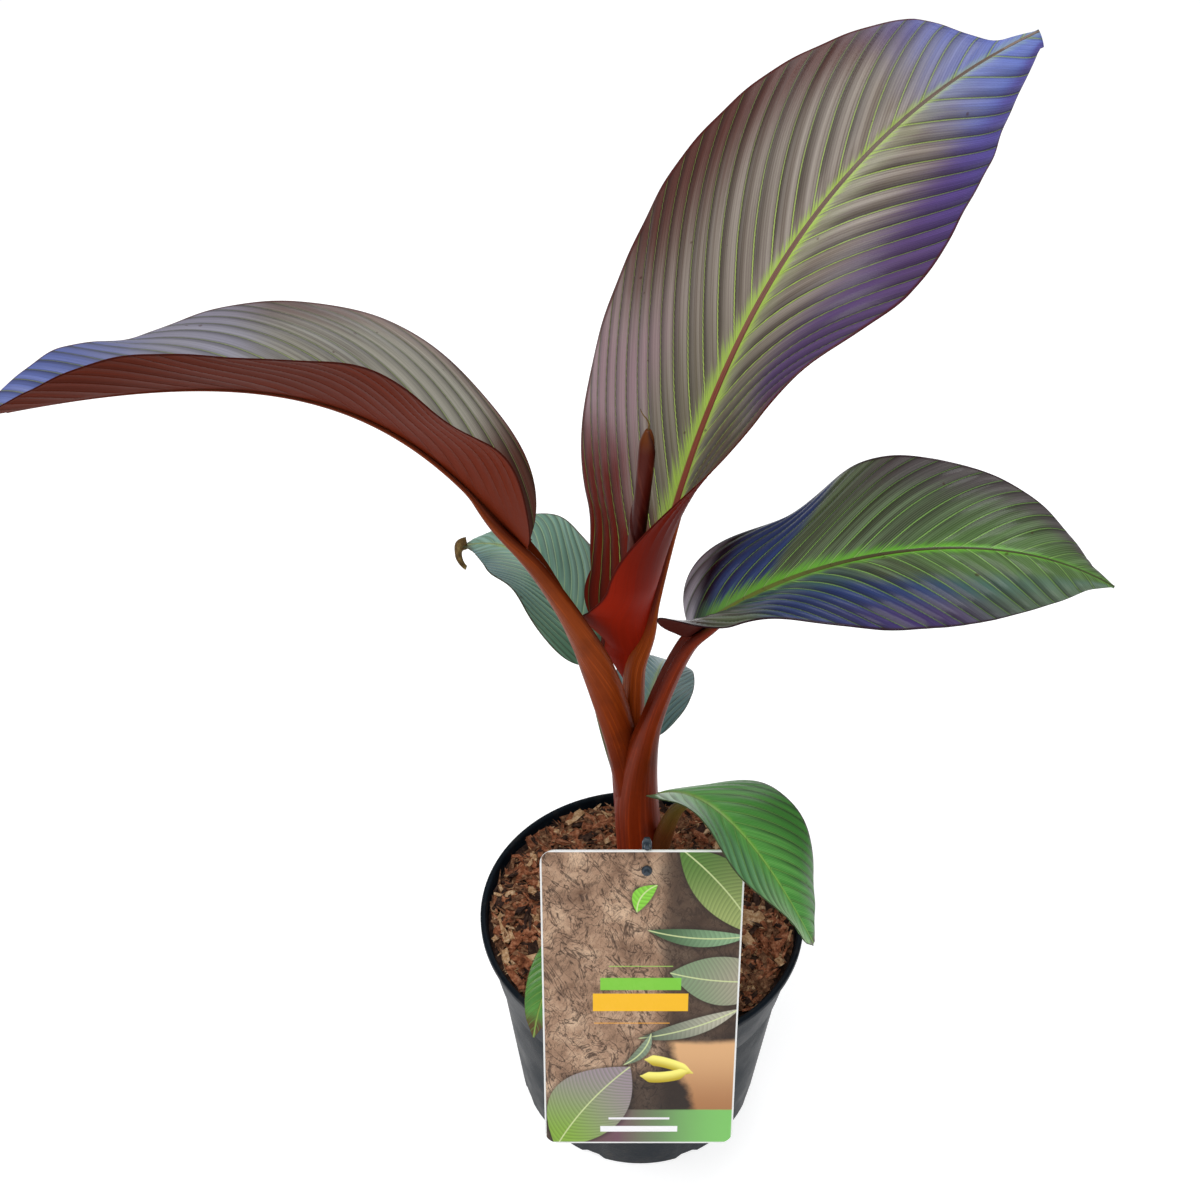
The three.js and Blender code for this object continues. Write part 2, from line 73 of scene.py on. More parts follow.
# Curves have four points, and sizes are half-widths, sideways and then upwards.
# face: where the upper side looks, at the blade's base and tip.
# left, right: greatest width, fullness of base and tip, wavy margin (height, waves, start), stations
# (place, fold at the midrib, curl on to the margin, in degrees), and a neck unlike TIP_NECK.
# rib: the midrib at its foot. joins: place along the midrib where the petiole meets it.
# wraps: place along the petiole where its sheath leaves the stem. channel: its depth, as a share.
# wing: how much of the petiole the blade runs down.
# channel also sets how much painted shade lies inside the petiole's channel.
LEAVES = {
    "right": {
        "petiole": [(-6, -3, 212), (-4, -7, 258), (4, -13, 302), (17, -17, 332)],
        "foot": (9, 7),
        "top": (5, 4.2),
        "midrib": [(17, -17, 333), (44, -23, 372), (114, -53, 425), (168, -67, 396)],
        "face": [(-0.7, -0.05, 0.7), (0.2, -0.35, 0.9)],
        "left": {"width": 42, "base": 0.58, "tip": 0.92, "wave": (-1.5, 2, 0.8),
                 "stations": [(0, 47, -8), (0.3, 18, -52), (0.65, 44, 0), (1, -7, -23)]},
        "right": {"width": 48, "base": 0.42, "tip": 0.82, "wave": (-1.5, 2, 1.1),
                  "stations": [(0, 47, 39), (0.3, 34, -2), (1, -16, -36)]},
        "rib": (3.2, 3.4),
        "wraps": 0.36,
    },
    "left": {
        "petiole": [(-6, 0, 212), (-13, -3, 285), (-30, -6, 332), (-53, -4, 369)],
        "foot": (9, 6.5),
        "top": (6.2, 5),
        "midrib": [(-53, -4, 370), (-103, 12, 432), (-139, -13, 465), (-243, -45, 455)],
        "face": [(-0.28, 0.07, 0.96), (0, 0.22, 0.98)],
        "left": {"width": 54, "base": 0.5, "tip": 0.65, "wave": (2.3, 3, -1.7),
                 "stations": [(0, 52, 5), (0.4, 29, -4), (1, 30, 12)]},
        "right": {"width": 57, "base": 0.62, "tip": 0.59, "wave": (-1.4, 3, -1.4),
                  "stations": [(0, 49, -27), (0.4, 45, -17), (0.8, 29, -27), (1, 40, -11)]},
        "rib": (4, 2.8),
    },
    "upright": {
        "petiole": [(-6, 2, 216), (-7, 5, 246), (-7, 7, 274), (-6, 8, 299)],
        "foot": (8, 6),
        "top": (5.6, 4.6),
        "midrib": [(-6, 8, 300), (6, 6, 348), (21, 61, 501), (150, 89, 551)],
        "face": [(-0.77, -0.41, 0.5), (0.24, -0.6, 0.76)],
        "left": {"width": 78, "base": 0.9, "tip": 0.85, "wave": (0, 3, 0), "neck": (0.91, 0.75, 0.06),
                 "stations": [(0, 35, -10), (0.25, 1, -9), (0.6, -14, -14), (1, 3, -9)]},
        "right": {"width": 56, "base": 0.53, "tip": 0.45, "wave": (-1.7, 2.5, -3.6),
                  "stations": [(0, 95, 95), (0.22, 36, 75), (0.5, 39, 16), (1, -14, -42)]},
        "rib": (4, 4.2),
        "channel": 0.1,
        "wing": 0.3,
    },
    "back_left": {
        "petiole": [(-5, 4, 205), (-14, 10, 232), (-22, 15, 258), (-25, 24, 280)],
        "foot": (5, 4),
        "top": (3, 2.6),
        "midrib": [(-25, 25, 281), (-40, 56, 311), (-62, 89, 313), (-90, 82, 310)],
        "face": [(0.2, -0.3, 0.93), (-0.2, -0.37, 0.91)],
        "left": {"width": 31, "base": 0.43, "tip": 0.65, "wave": (0.7, 3, 1),
                 "stations": [(0, 27, -10), (0.4, 34, 2), (1, 34, 0)]},
        "right": {"width": 28, "base": 0.42, "tip": 0.64, "wave": (0.6, 3, 0),
                  "stations": [(0, 45, 0), (0.4, 42, 4), (1, -29, -37)]},
        "rib": (2, 2.2),
    },
    "back_right": {
        "petiole": [(-1, 4, 180), (0, 12, 205), (0, 18, 218), (1, 28, 228)],
        "foot": (5, 4),
        "top": (2.8, 2.4),
        "midrib": [(1, 29, 229), (3, 50, 243), (10, 82, 236), (14, 104, 218)],
        "face": [(0, -0.4, 0.9), (0.2, 0.3, 0.9)],
        "left": {"width": 21, "base": 0.45, "tip": 0.6, "wave": (0.8, 3, 0),
                 "stations": [(0, 25, 0), (0.4, 15, -10), (1, 10, -10)]},
        "right": {"width": 21, "base": 0.45, "tip": 0.6, "wave": (0.8, 3, 1),
                  "stations": [(0, 25, 0), (0.4, 15, -10), (1, 10, -10)]},
        "rib": (1.8, 2),
    },
    "low_right": {
        "petiole": [(3, -3, 150), (8, -7, 190), (10, -12, 212), (15, -24, 236)],
        "foot": (6.5, 5),
        "top": (3, 2.6),
        "midrib": [(5, -18, 238), (31, -38, 270), (56, -79, 247), (72, -87, 215)],
        "joins": 0.17,
        "face": [(0.21, -0.1, 0.97), (0.5, -0.4, 0.76)],
        "left": {"width": 32, "base": 0.55, "tip": 0.6, "wave": (1.2, 2, 0.2),
                 "stations": [(0, -16, -25), (0.4, 16, -22), (1, -7, -20)]},
        "right": {"width": 24, "base": 0.44, "tip": 0.6, "wave": (-2.8, 2, 0.1),
                  "stations": [(0, 20, 8), (0.4, 24, 5), (1, 26, 13)]},
        "rib": (1.8, 2),
    },
    "low_left": {
        "petiole": [(-3, -6, 138), (-9, -13, 145), (-14, -20, 151), (-20, -28, 156)],
        "foot": (4.5, 3.5),
        "top": (2.4, 2),
        "midrib": [(-20, -28, 156), (-32, -46, 166), (-50, -66, 168), (-54, -79, 134)],
        "face": [(0, 0.1, 1), (-0.3, -0.9, 0.3)],
        "left": {"width": 13, "base": 0.5, "tip": 0.7, "wave": (0.5, 2, 0),
                 "stations": [(0, 10, 0), (0.5, 15, -15), (1, 15, 10)]},
        "right": {"width": 13, "base": 0.5, "tip": 0.7, "wave": (0.5, 2, 1),
                  "stations": [(0, 10, 0), (0.5, 15, -15), (1, 15, 10)]},
        "rib": (1.4, 1.6),
    },
}
BIG_LEAVES = ("right", "left", "upright")

STEM = {
    "path": [(0.5, 0, 129), (0.5, 0, 160), (-4, 0, 205), (-6, 0, 238)],
    "foot": 11.6,
    "top": 10.2,
}
WRAP_SHARE = 0.95                 # of the stem's height that the front leaf's sheath covers
WRAP_SIZES = ((12.6, 12.6), (10.7, 10.7))
SPEAR = {"path": [(-8, 6, 331), (-8, -2, 358), (-5, -6, 394), (-3, -6, 427)], "foot": 3.3, "tip": 2.9}
LABEL = {
    "centre": -3,
    "width": 92,
    "height": 168,
    "thickness": 0.8,
    "corner": 7,
    "below_rim": 58,
    "lean": 15.5,
    "gap": 0.35,
}


# ---------------------------------------------------------------- what the leaves look like

# ground, streak: the blade and its streaks. under, under_far: the under side at the base and tip.
# zones: colour, pairs of start and full place along, the same across (left is negative), and how
# much of it. skew: how much the zones lean. glow: colour beside the midrib and how far it reaches.
# vein_reach: how far out the veins' colour shows. spacing: between veins. slope: how they slant.
# midrib: at the base, middle and tip. rib_band: half its width at the base and tip.
# relief: share of the pleats' height. plain: place along where pleats and under ribs begin.
# sheen: start and end along, and the coat's weight at each. coat: its roughness.
# On the big leaves, the blue zones are painted sky reflection, and the violet ones are the leaf's own purple
# with painted sky reflection in it. The right leaf's pale grey zone in its cup is a painted highlight.
LOOKS = {
    "upright": {
        "ground": "6c5e56", "streak": "8c8078", "under": "861c0a", "under_far": "561e14",
        "zones": [("947880", (0.62, 0.46), (-0.3, -0.6), 0.8),
                  ("58563c", (0.12, 0.3, 0.62, 0.45), (-0.5, -0.1), 0.5),
                  ("502620", (0.5, 0.62), (-0.42, -0.92), 0.92),
                  ("8e9070", (0.42, 0.52), (0.24, 0.12, -0.01, 0.01), 0.45),
                  # The first zone here, violet, is the leaf's purple with painted sky reflection in it.
                  ("4e3468", (0.46, 0.56), (0.3, 0.72), 0.9), ("48341e", (0.5, 0.43), (0.12, 0.45), 0.9),
                  ("5a2418", (0.6, 0.48), (0.8, 0.95), 0.8), ("5a180a", (0.42, 0.31), (-0.3, -0.62), 0.94),
                  ("5c1406", (0.33, 0.23), (-0.04, -0.14), 0.97),
                  # The second zone here, blue at the tip, is painted sky reflection.
                  ("74260e", (0.3, 0.2), (-0.02, 0.02), 0.8), ("6476c0", (0.84, 0.97), None, 0.88),
                  # Violet along the right margin: the leaf's purple with painted sky reflection in it.
                  ("54448a", (0.72, 0.9), (0.45, 0.8), 0.75)],
        "glow": ("a2c24a", 12), "veins": "a9c25c", "vein_reach": 46, "midrib": ("7a2c1c", "8a5040", "786a60"),
        "rib_band": (2.5, 0.5), "margin": "4a1410", "roughness": 0.4, "spacing": 15, "slope": 1.6,
        "sheen": (0.28, 0.46, 0.0, 0.38), "coat": 0.34, "plain": 0.26,
    },
    "right": {
        "ground": "34402a", "streak": "5a6e4e", "under": "3c1410", "under_far": "2c1a20",
        # Blue: painted sky reflection.
        "zones": [("2e3e70", (0.26, 0.22), (-0.08, -0.22), 0.94),
                  ("544c4e", (0.27, 0.38), (-0.5, -0.9), 0.9),
                  ("2e5058", (0.12, 0.22, 0.48, 0.34), (0.02, 0.2), 0.85),
                  # Blue, then violet towards the margin: painted sky reflection, over the leaf's purple in
                  # the violet one.
                  ("28386c", (0.1, 0.22), (0.3, 0.55), 0.9), ("3e2c5c", (0.22, 0.42), (0.6, 0.9), 0.88),
                  ("16101a", (0.08, 0.0), None, 0.96),
                  # Painted highlight: a pale grey band across the cup of the right leaf's left half.
                  ("b4aeb8", (-0.26, -0.18, 0.0, -0.08), (-0.2, -0.5), 0.75),
                  # The first zone here, violet, is the leaf's purple with painted sky reflection in it.
                  ("5a4c66", (0.4, 0.58), (0.5, 0.85), 0.85), ("7a827e", (0.62, 0.76), (0.25, 0.6), 0.6),
                  ("4e7434", (0.48, 0.66), (-0.8, -0.1), 0.5), ("2c181c", (0.94, 0.98), None, 0.9)],
        "glow": ("68ac34", 8), "veins": "84ac5c", "vein_reach": 34, "midrib": ("7c8a3c", "48442c", "445030"),
        "rib_band": (1.5, 0.4), "margin": "28101a", "roughness": 0.4, "spacing": 10.6, "slope": 1.4,
        "sheen": (0.12, 0.3, 1.0, 0.3), "coat": 0.2, "skew": 0.2,
    },
    "left": {
        "ground": "655f58", "streak": "8b877c", "under": "64220e", "under_far": "481a0e",
        "zones": [("9a968a", (0.1, 0.2, 0.46, 0.34), (0.2, 0.5), 0.8),
                  ("7a605a", (0.1, 0.2, 0.62, 0.5), (0.78, 1.0), 0.75),
                  ("4a1c12", (0.24, 0.1), (0.2, 0.6), 0.9), ("5c4644", (0.4, 0.52), (0.6, 0.95), 0.75),
                  # The second zone here, blue at the tip, is painted sky reflection.
                  ("848294", (0.56, 0.7), None, 0.75), ("4c5c9c", (0.74, 0.93), None, 0.9)],
        "glow": ("7e9440", 9), "veins": "93a05c", "vein_reach": 40, "midrib": ("7a3a26", "8a5a40", "7c6a60"),
        "rib_band": (2.3, 0.5), "margin": "4e1810", "roughness": 0.4, "spacing": 12.5, "slope": 1.45,
        "sheen": (0.1, 0.2, 0.1, 0.65), "coat": 0.34, "relief": 0.6,
    },
    "back_left": {
        "ground": "6a9684", "streak": "8cb4a4", "under": "7a9c70", "under_far": "7a9c70",
        "zones": [("5c86a0", (0.2, 0.5), (-0.4, -0.9), 0.45), ("4a8052", (0.35, 0.0), None, 0.6),
                  ("4d4426", (0.93, 0.98), None, 0.95)],
        "glow": ("93b970", 5), "veins": "a4c49c", "vein_reach": 50, "midrib": ("8a7a4c", "a2bb78", "93a274"),
        "rib_band": (1.3, 0.4), "margin": "4a3a2c", "roughness": 0.42, "spacing": 6.0,
    },
    "back_right": {
        "ground": "5c868a", "streak": "7ca4a4", "under": "6f8f6c", "under_far": "6f8f6c",
        "zones": [("4a6c7c", (0.4, 1.0), None, 0.5)],
        "glow": ("86aa74", 4), "veins": "8cab9c", "vein_reach": 40, "midrib": ("8a6a44", "8fa672", "839874"),
        "rib_band": (1.2, 0.4), "margin": "3c362c", "roughness": 0.42, "spacing": 5.6,
    },
    "low_right": {
        "ground": "2f8220", "streak": "4c9a38", "under": "6c985a", "under_far": "74a064",
        "zones": [("568c5c", (0.02, 0.3), (0.15, 0.6), 0.75), ("72a070", (0.3, 0.0), (0.1, 0.9), 0.6),
                  ("86b864", (0.6, 0.9), (0.05, 0.7), 0.8), ("2a6a1c", (0.1, 0.5), (-0.3, -0.8), 0.6),
                  ("4a2c24", (0.96, 0.985), None, 0.9)],
        "glow": ("68a038", 3), "veins": "5f9440", "vein_reach": 34, "midrib": ("6c8c34", "78a848", "7aa64c"),
        "rib_band": (1.1, 0.3), "margin": "3c1c24", "roughness": 0.38, "spacing": 8.5,
    },
    "low_left": {
        "ground": "3f8426", "streak": "589a38", "under": "64983c", "under_far": "6c9c44",
        "zones": [("5c3c1c", (0.86, 0.95), None, 0.95)],
        "glow": ("7cae44", 3), "veins": "76a848", "vein_reach": 20, "midrib": ("93aa48", "9ab850", "86a64c"),
        "rib_band": (1.0, 0.4), "margin": "5a3a20", "roughness": 0.4, "spacing": 5.0,
    },
}
STALK_LOOKS = {
    "right": ("741c06", "7a2a0c", "5e1c12"),
    "left": ("701f08", "80360c", "64260e"),
    "upright": ("7a2606", "94420e", "7a2010"),
    "back_left": ("4c2410", "5c6434", "76884c"),
    "back_right": ("44240f", "566038", "6c8050"),
    "low_right": ("4e200c", "5a3014", "7c7c38"),
    "low_left": ("4c3c18", "647434", "78964a"),
}


# ---------------------------------------------------------------- curves and blades

def unit(vectors):
    """The same directions with a length of one."""
    return vectors / np.maximum(np.linalg.norm(vectors, axis=-1, keepdims=True), 1e-9)


def smooth(x):
    """Rises gently from 0 to 1 while x does, and is held outside."""
    x = np.clip(x, 0, 1)
    return x * x * (3 - 2 * x)


def bezier(points, t):
    """Points of a cubic curve."""
    p = np.asarray(points, float)
    t = np.asarray(t, float)[..., None]
    s = 1 - t
    return s ** 3 * p[0] + 3 * s * s * t * p[1] + 3 * s * t * t * p[2] + t ** 3 * p[3]


def bezier_way(points, t):
    """Unit tangents of a cubic curve."""
    p = np.diff(np.asarray(points, float), axis=0)
    t = np.asarray(t, float)[..., None]
    s = 1 - t
    return unit(s * s * p[0] + 2 * s * t * p[1] + t * t * p[2])


def curve_length(points, t):
    """Length of a cubic curve from its start to each place t."""
    places = np.linspace(0, 1, 200)
    steps = np.linalg.norm(np.diff(bezier(points, places), axis=0), axis=1)
    return np.interp(t, places, np.concatenate(([0], np.cumsum(steps))))


def at_station(stations, t, field):
    """Value of a column of the stations at t, eased from one station to the next."""
    value = np.full(np.shape(t), float(stations[0][field]))
    for start, end in zip(stations[:-1], stations[1:]):
        value += (end[field] - start[field]) * smooth((t - start[0]) / (end[0] - start[0]))
    return value


def outline(half, t):
    """Half-width of a blade as a share of its greatest."""
    widest = half["base"] / (half["base"] + half["tip"])
    place = np.clip(t, 0.004, 0.995)
    neck, share, length = half.get("neck", TIP_NECK)
    narrowing = 1 - share * smooth((place - neck) / length)
    return (place / widest) ** half["base"] * ((1 - place) / (1 - widest)) ** half["tip"] * narrowing


def blade_frame(leaf, t):
    """Points, tangents, upward and rightward directions along a midrib."""
    way = bezier_way(leaf["midrib"], t)
    base, tip = (unit(np.array(face, float)) for face in leaf["face"])
    share = smooth(t)[..., None]
    face = base * (1 - share) + tip * share
    up = unit(face - (face * way).sum(-1, keepdims=True) * way)
    return bezier(leaf["midrib"], t), way, up, np.cross(way, up)


def wing_frame(leaf, along):
    """As blade_frame, with the places below 0 running down the petiole."""
    centre, way, up, right = blade_frame(leaf, np.maximum(along, 0))
    below = along < 0
    place = 1 + leaf["wing"] * along[below] / WING_ROWS
    centre[below] = bezier(leaf["petiole"], place)
    way[below] = bezier_way(leaf["petiole"], place)
    face = unit(np.array(leaf["face"][0], float))
    up[below] = unit(face - (way[below] @ face)[:, None] * way[below])
    right[below] = np.cross(way[below], up[below])
    return centre, way, up, right


def half_width(leaf, side, t):
    """Width of a half-blade at t, drawn out smoothly down the petiole if the leaf has a wing."""
    if "wing" not in leaf:
        return side["width"] * outline(side, t)
    rising = np.clip((t + WING_ROWS) / (WING_END + WING_ROWS), 0, 1)
    return side["width"] * outline(side, np.maximum(t, WING_END)) * np.sin(rising * np.pi / 2) ** 1.2


def blade_surface(leaf, across, along):
    """Points of a blade, and each point's distance from the midrib."""
    if "wing" in leaf:
        centre, way, up, right = wing_frame(leaf, along)
    else:
        centre, way, up, right = blade_frame(leaf, along)
    points = np.empty_like(centre)
    distance = np.empty_like(along)
    for side, mask in ((leaf["left"], across < 0), (leaf["right"], across >= 0)):
        t = along[mask]
        reach = np.abs(across[mask])
        width = half_width(leaf, side, t)
        fold = np.radians(at_station(side["stations"], t, 1))
        turn = np.radians(at_station(side["stations"], t, 2))
        turn = np.where(np.abs(turn) < 1e-4, 1e-4, turn)
        end = fold + turn * reach
        out = (np.sin(end) - np.sin(fold)) / turn * width
        rise = (np.cos(fold) - np.cos(end)) / turn * width
        height, waves, start = side["wave"]
        fade = np.clip(4 * t, 0, 1) * np.minimum(1, 5 * (1 - t))
        ripple = height * reach ** 2 * fade * np.sin(2 * np.pi * waves * t + start)
        out = out - ripple * np.sin(end)
        rise = rise + ripple * np.cos(end)
        gap = reach * width
        soft = np.minimum(VALLEY, 0.3 * width)
        rise = rise * (np.sqrt(gap ** 2 + soft ** 2) - soft) / np.maximum(gap, 1e-6)
        sideways = (np.sign(across[mask]) * out)[:, None] * right[mask]
        points[mask] = centre[mask] + sideways + rise[:, None] * up[mask]
        distance[mask] = gap
    return points, distance


def blade_shape(leaf, look, columns, relief):
    """Bends a flat grid into a pleated blade, with marks for its finish."""
    def bend(across, along):
        if "wing" in leaf:
            along = along * (1 + WING_ROWS) - WING_ROWS
        points, distance = blade_surface(leaf, across, along)
        length = curve_length(leaf["midrib"], along)
        reach = np.abs(across)
        slope = look.get("slope", 1.15)
        vein = length - slope * distance - 0.3 * distance * reach ** 2 + np.where(across < 0, 2.1, 0)
        grid = points.reshape(-1, columns + 1, 3)
        normals = unit(np.cross(np.gradient(grid, axis=1), np.gradient(grid, axis=0))).reshape(-1, 3)
        plain = np.where(across > 0, look.get("plain", 0.04), 0.04)
        inner = smooth((distance - 1.5) / 5) * smooth((along - plain) / 0.16)
        outer = smooth((1 - reach) / 0.1)
        ends = smooth(along / 0.04) * smooth((1 - along) / 0.06)
        pleat = np.abs(np.sin(np.pi * vein / look["spacing"])) ** 0.75 - 0.6
        broad = np.sin(vein / 11 + 2 * reach) + 0.6 * np.sin(vein / 5.3 + 1.3 + 3 * reach)
        height = relief * (pleat * inner * outer + 0.4 * broad * inner) * ends
        channel = np.exp(-(distance / 1.9) ** 2) * leaf["rib"][0] * 0.25 * (1 - 0.7 * along)
        points = points + (height - channel * ends)[:, None] * normals
        return points, {
            "leaf_place": np.stack((across, along, distance), 1),
            "leaf_vein": np.stack((vein, length, reach), 1),
        }
    return bend


def soften(table, joint, spread, rounds):
    """Evens out the rows of a table on both sides of a joint."""
    for _ in range(rounds):
        row = slice(joint - spread, joint + spread)
        before, after = slice(row.start - 1, row.stop - 1), slice(row.start + 1, row.stop + 1)
        table[row] = 0.5 * table[row] + 0.25 * (table[before] + table[after])


def stalk_path(leaf):
    """Centres, sizes and frames down a leaf's petiole and the midrib that it runs on into, and the rows
    of its two joints."""
    face = unit(np.array(leaf["face"][0], float))
    petiole_t = np.linspace(leaf.get("wraps", 0), 1, 70)
    start = leaf.get("joins", 0.0)
    rib_t = np.linspace(start + 0.012, 0.97, 110)
    centres = [bezier(leaf["petiole"], petiole_t)]
    ways = [bezier_way(leaf["petiole"], petiole_t)]
    sizes = [np.outer(1 - petiole_t, leaf["foot"]) + np.outer(petiole_t, leaf["top"])]
    if leaf.get("wraps"):
        stem_t = np.linspace(0, WRAP_SHARE, 50)
        share = (stem_t / WRAP_SHARE)[:, None]
        centres.insert(0, bezier(STEM["path"], stem_t) + np.array((0, -0.6, 0)))
        ways.insert(0, bezier_way(STEM["path"], stem_t))
        sizes.insert(0, np.array(WRAP_SIZES[0]) * (1 - share) + np.array(WRAP_SIZES[1]) * share)
    low = sum(len(part) for part in centres[:-1])
    high = low + len(petiole_t)
    ways = np.concatenate(ways)
    ups = unit(face - (ways @ face)[:, None] * ways)
    rib_centre, _, rib_up, _ = blade_frame(leaf, rib_t)
    entry = smooth((rib_t - start) / 0.16)[:, None]
    rib_size = np.stack((leaf["rib"][0] * (1 - 0.82 * rib_t), 0.6 * leaf["rib"][1] * (1 - 0.8 * rib_t)), 1)
    rib_size = rib_size * entry + np.array(leaf["top"]) * (1 - entry)
    lift = smooth((rib_t - start) / 0.07)[:, None]
    below_blade = 0.15
    centres = np.concatenate((*centres, rib_centre - rib_up * (rib_size[:, 1:] + below_blade) * lift))
    sizes = np.concatenate((*sizes, rib_size))
    ups = np.concatenate((ups, rib_up))
    for table in (centres, sizes, ups):
        soften(table, high, 13, 40)
        if low:
            soften(table, low, 14, 60)
    ways = unit(np.gradient(centres, axis=0))
    ups = unit(ups - (ups * ways).sum(1, keepdims=True) * ways)
    return centres, sizes, ups, np.cross(ways, ups), low, high


def stalk_shape(leaf):
    """Bends a flat grid into a channelled stalk that tapers from its sheath to the leaf's tip."""
    centres, sizes, ups, rights, low, high = stalk_path(leaf)
    steps = np.concatenate(([0], np.cumsum(np.linalg.norm(np.diff(centres, axis=0), axis=1))))
    opening, rib_from = steps[low], steps[high]

    def bend(across, along):
        place = along * steps[-1]
        pick = [np.stack([np.interp(place, steps, table[:, k]) for k in range(table.shape[1])], 1)
                for table in (centres, sizes, ups, rights)]
        centre, size, up, right = pick
        angle = np.pi * across
        side, top = np.sin(angle), -np.cos(angle)
        depth = 0.9 * leaf.get("channel", 1.0)
        channel = depth * np.exp(-(side / 0.55) ** 2) * (top > 0) * smooth((place - opening - 12) / 45)
        streak = 1 + 0.012 * np.sin(9 * angle + 0.02 * place) + 0.008 * np.sin(23 * angle + 0.05 * place)
        wide = (side * size[:, 0] * streak)[:, None]
        high_way = ((top - channel * np.abs(top)) * size[:, 1] * streak)[:, None]
        points = centre + wide * right + high_way * up
        return points, {
            "skin": np.stack((side * 9, top * 9, place), 1),
            "leaf_place": np.stack((top * smooth((place - opening - 12) / 45), place / steps[-1],
                                    np.maximum(place - rib_from, 0)), 1),
        }
    return bend


# ---------------------------------------------------------------- mesh making

def finish_mesh(bm, name, finishes, slot, *nodes):
    """Makes a piece from a bmesh, gives it its finishes and puts it in place of its CAD nodes."""
    mesh = bpy.data.meshes.new(name)
    bm.to_mesh(mesh)
    bm.free()
    return finish_piece(mesh, name, finishes, slot, *nodes)


def finish_piece(mesh, name, finishes, slot, *nodes):
    """The same from a mesh. A piece without nodes is an addition."""
    mesh.polygons.foreach_set("use_smooth", [True] * len(mesh.polygons))
    for finish in finishes:
        mesh.materials.append(finish)
    piece = bpy.data.objects.new(name, mesh)
    bpy.context.scene.collection.objects.link(piece)
    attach(piece, "root")
    if nodes:
        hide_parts(*nodes)
    return piece


def flat_faces(mesh):
    """Gives a mesh sharp facets."""
    mesh.polygons.foreach_set("use_smooth", [False] * len(mesh.polygons))


def level_ring(angle, size):
    """Level steps from a centre, each of its own size and direction."""
    return np.stack((np.cos(angle) * size, np.sin(angle) * size, np.zeros_like(size)), 1)


def bent_grid(name, columns, rows, bend):
    """A flat grid of 2 by 2 bent by a function of its places across (-1 to 1) and along (0 to 1)."""
    bm = bmesh.new()
    bmesh.ops.create_grid(bm, x_segments=columns, y_segments=rows, size=1)
    mesh = bpy.data.meshes.new(name)
    bm.to_mesh(mesh)
    bm.free()
    flat = np.empty(len(mesh.vertices) * 3)
    mesh.vertices.foreach_get("co", flat)
    flat = flat.reshape(-1, 3)
    points, marks = bend(flat[:, 0], (flat[:, 1] + 1) / 2)
    mesh.vertices.foreach_set("co", (points * MM).ravel())
    for mark, values in marks.items():
        layer = mesh.attributes.new(mark, "FLOAT_VECTOR", "POINT")
        layer.data.foreach_set("vector", values.ravel())
    return mesh


def bent_tube(name, columns, rows, bend):
    """A bent grid whose two sides meet, closed at both ends."""
    mesh = bent_grid(name, columns, rows, bend)
    bm = bmesh.new()
    bm.from_mesh(mesh)
    bmesh.ops.remove_doubles(bm, verts=bm.verts, dist=1e-7)
    bmesh.ops.holes_fill(bm, edges=[edge for edge in bm.edges if edge.is_boundary], sides=0)
    bmesh.ops.recalc_face_normals(bm, faces=bm.faces)
    bm.to_mesh(mesh)
    bm.free()
    return mesh


def add_modifier(piece, kind, **settings):
    """Adds a modifier that stays live."""
    modifier = piece.modifiers.new(kind.title(), kind)
    for key, value in settings.items():
        setattr(modifier, key, value)
    return modifier


# ---------------------------------------------------------------- finishes

def paint(code, share=1.0):
    """Linear colour of a hexadecimal one, darkened to a share."""
    levels = [int(code[i:i + 2], 16) / 255 for i in (0, 2, 4)]
    linear = [((v + 0.055) / 1.055) ** 2.4 if v > 0.04045 else v / 12.92 for v in levels]
    return (*(v * share for v in linear), 1.0)


class Wire:
    """One socket's value. Python's own operators on it add Math nodes."""

    def __init__(self, finish, socket):
        self.finish = finish
        self.socket = socket

    def __add__(self, other):
        return self.finish.maths("ADD", self, other)

    def __radd__(self, other):
        return self.finish.maths("ADD", other, self)

    def __sub__(self, other):
        return self.finish.maths("SUBTRACT", self, other)

    def __rsub__(self, other):
        return self.finish.maths("SUBTRACT", other, self)

    def __mul__(self, other):
        return self.finish.maths("MULTIPLY", self, other)

    def __rmul__(self, other):
        return self.finish.maths("MULTIPLY", other, self)

    def __truediv__(self, other):
        return self.finish.maths("DIVIDE", self, other)

    def __abs__(self):
        return self.finish.maths("ABSOLUTE", self)


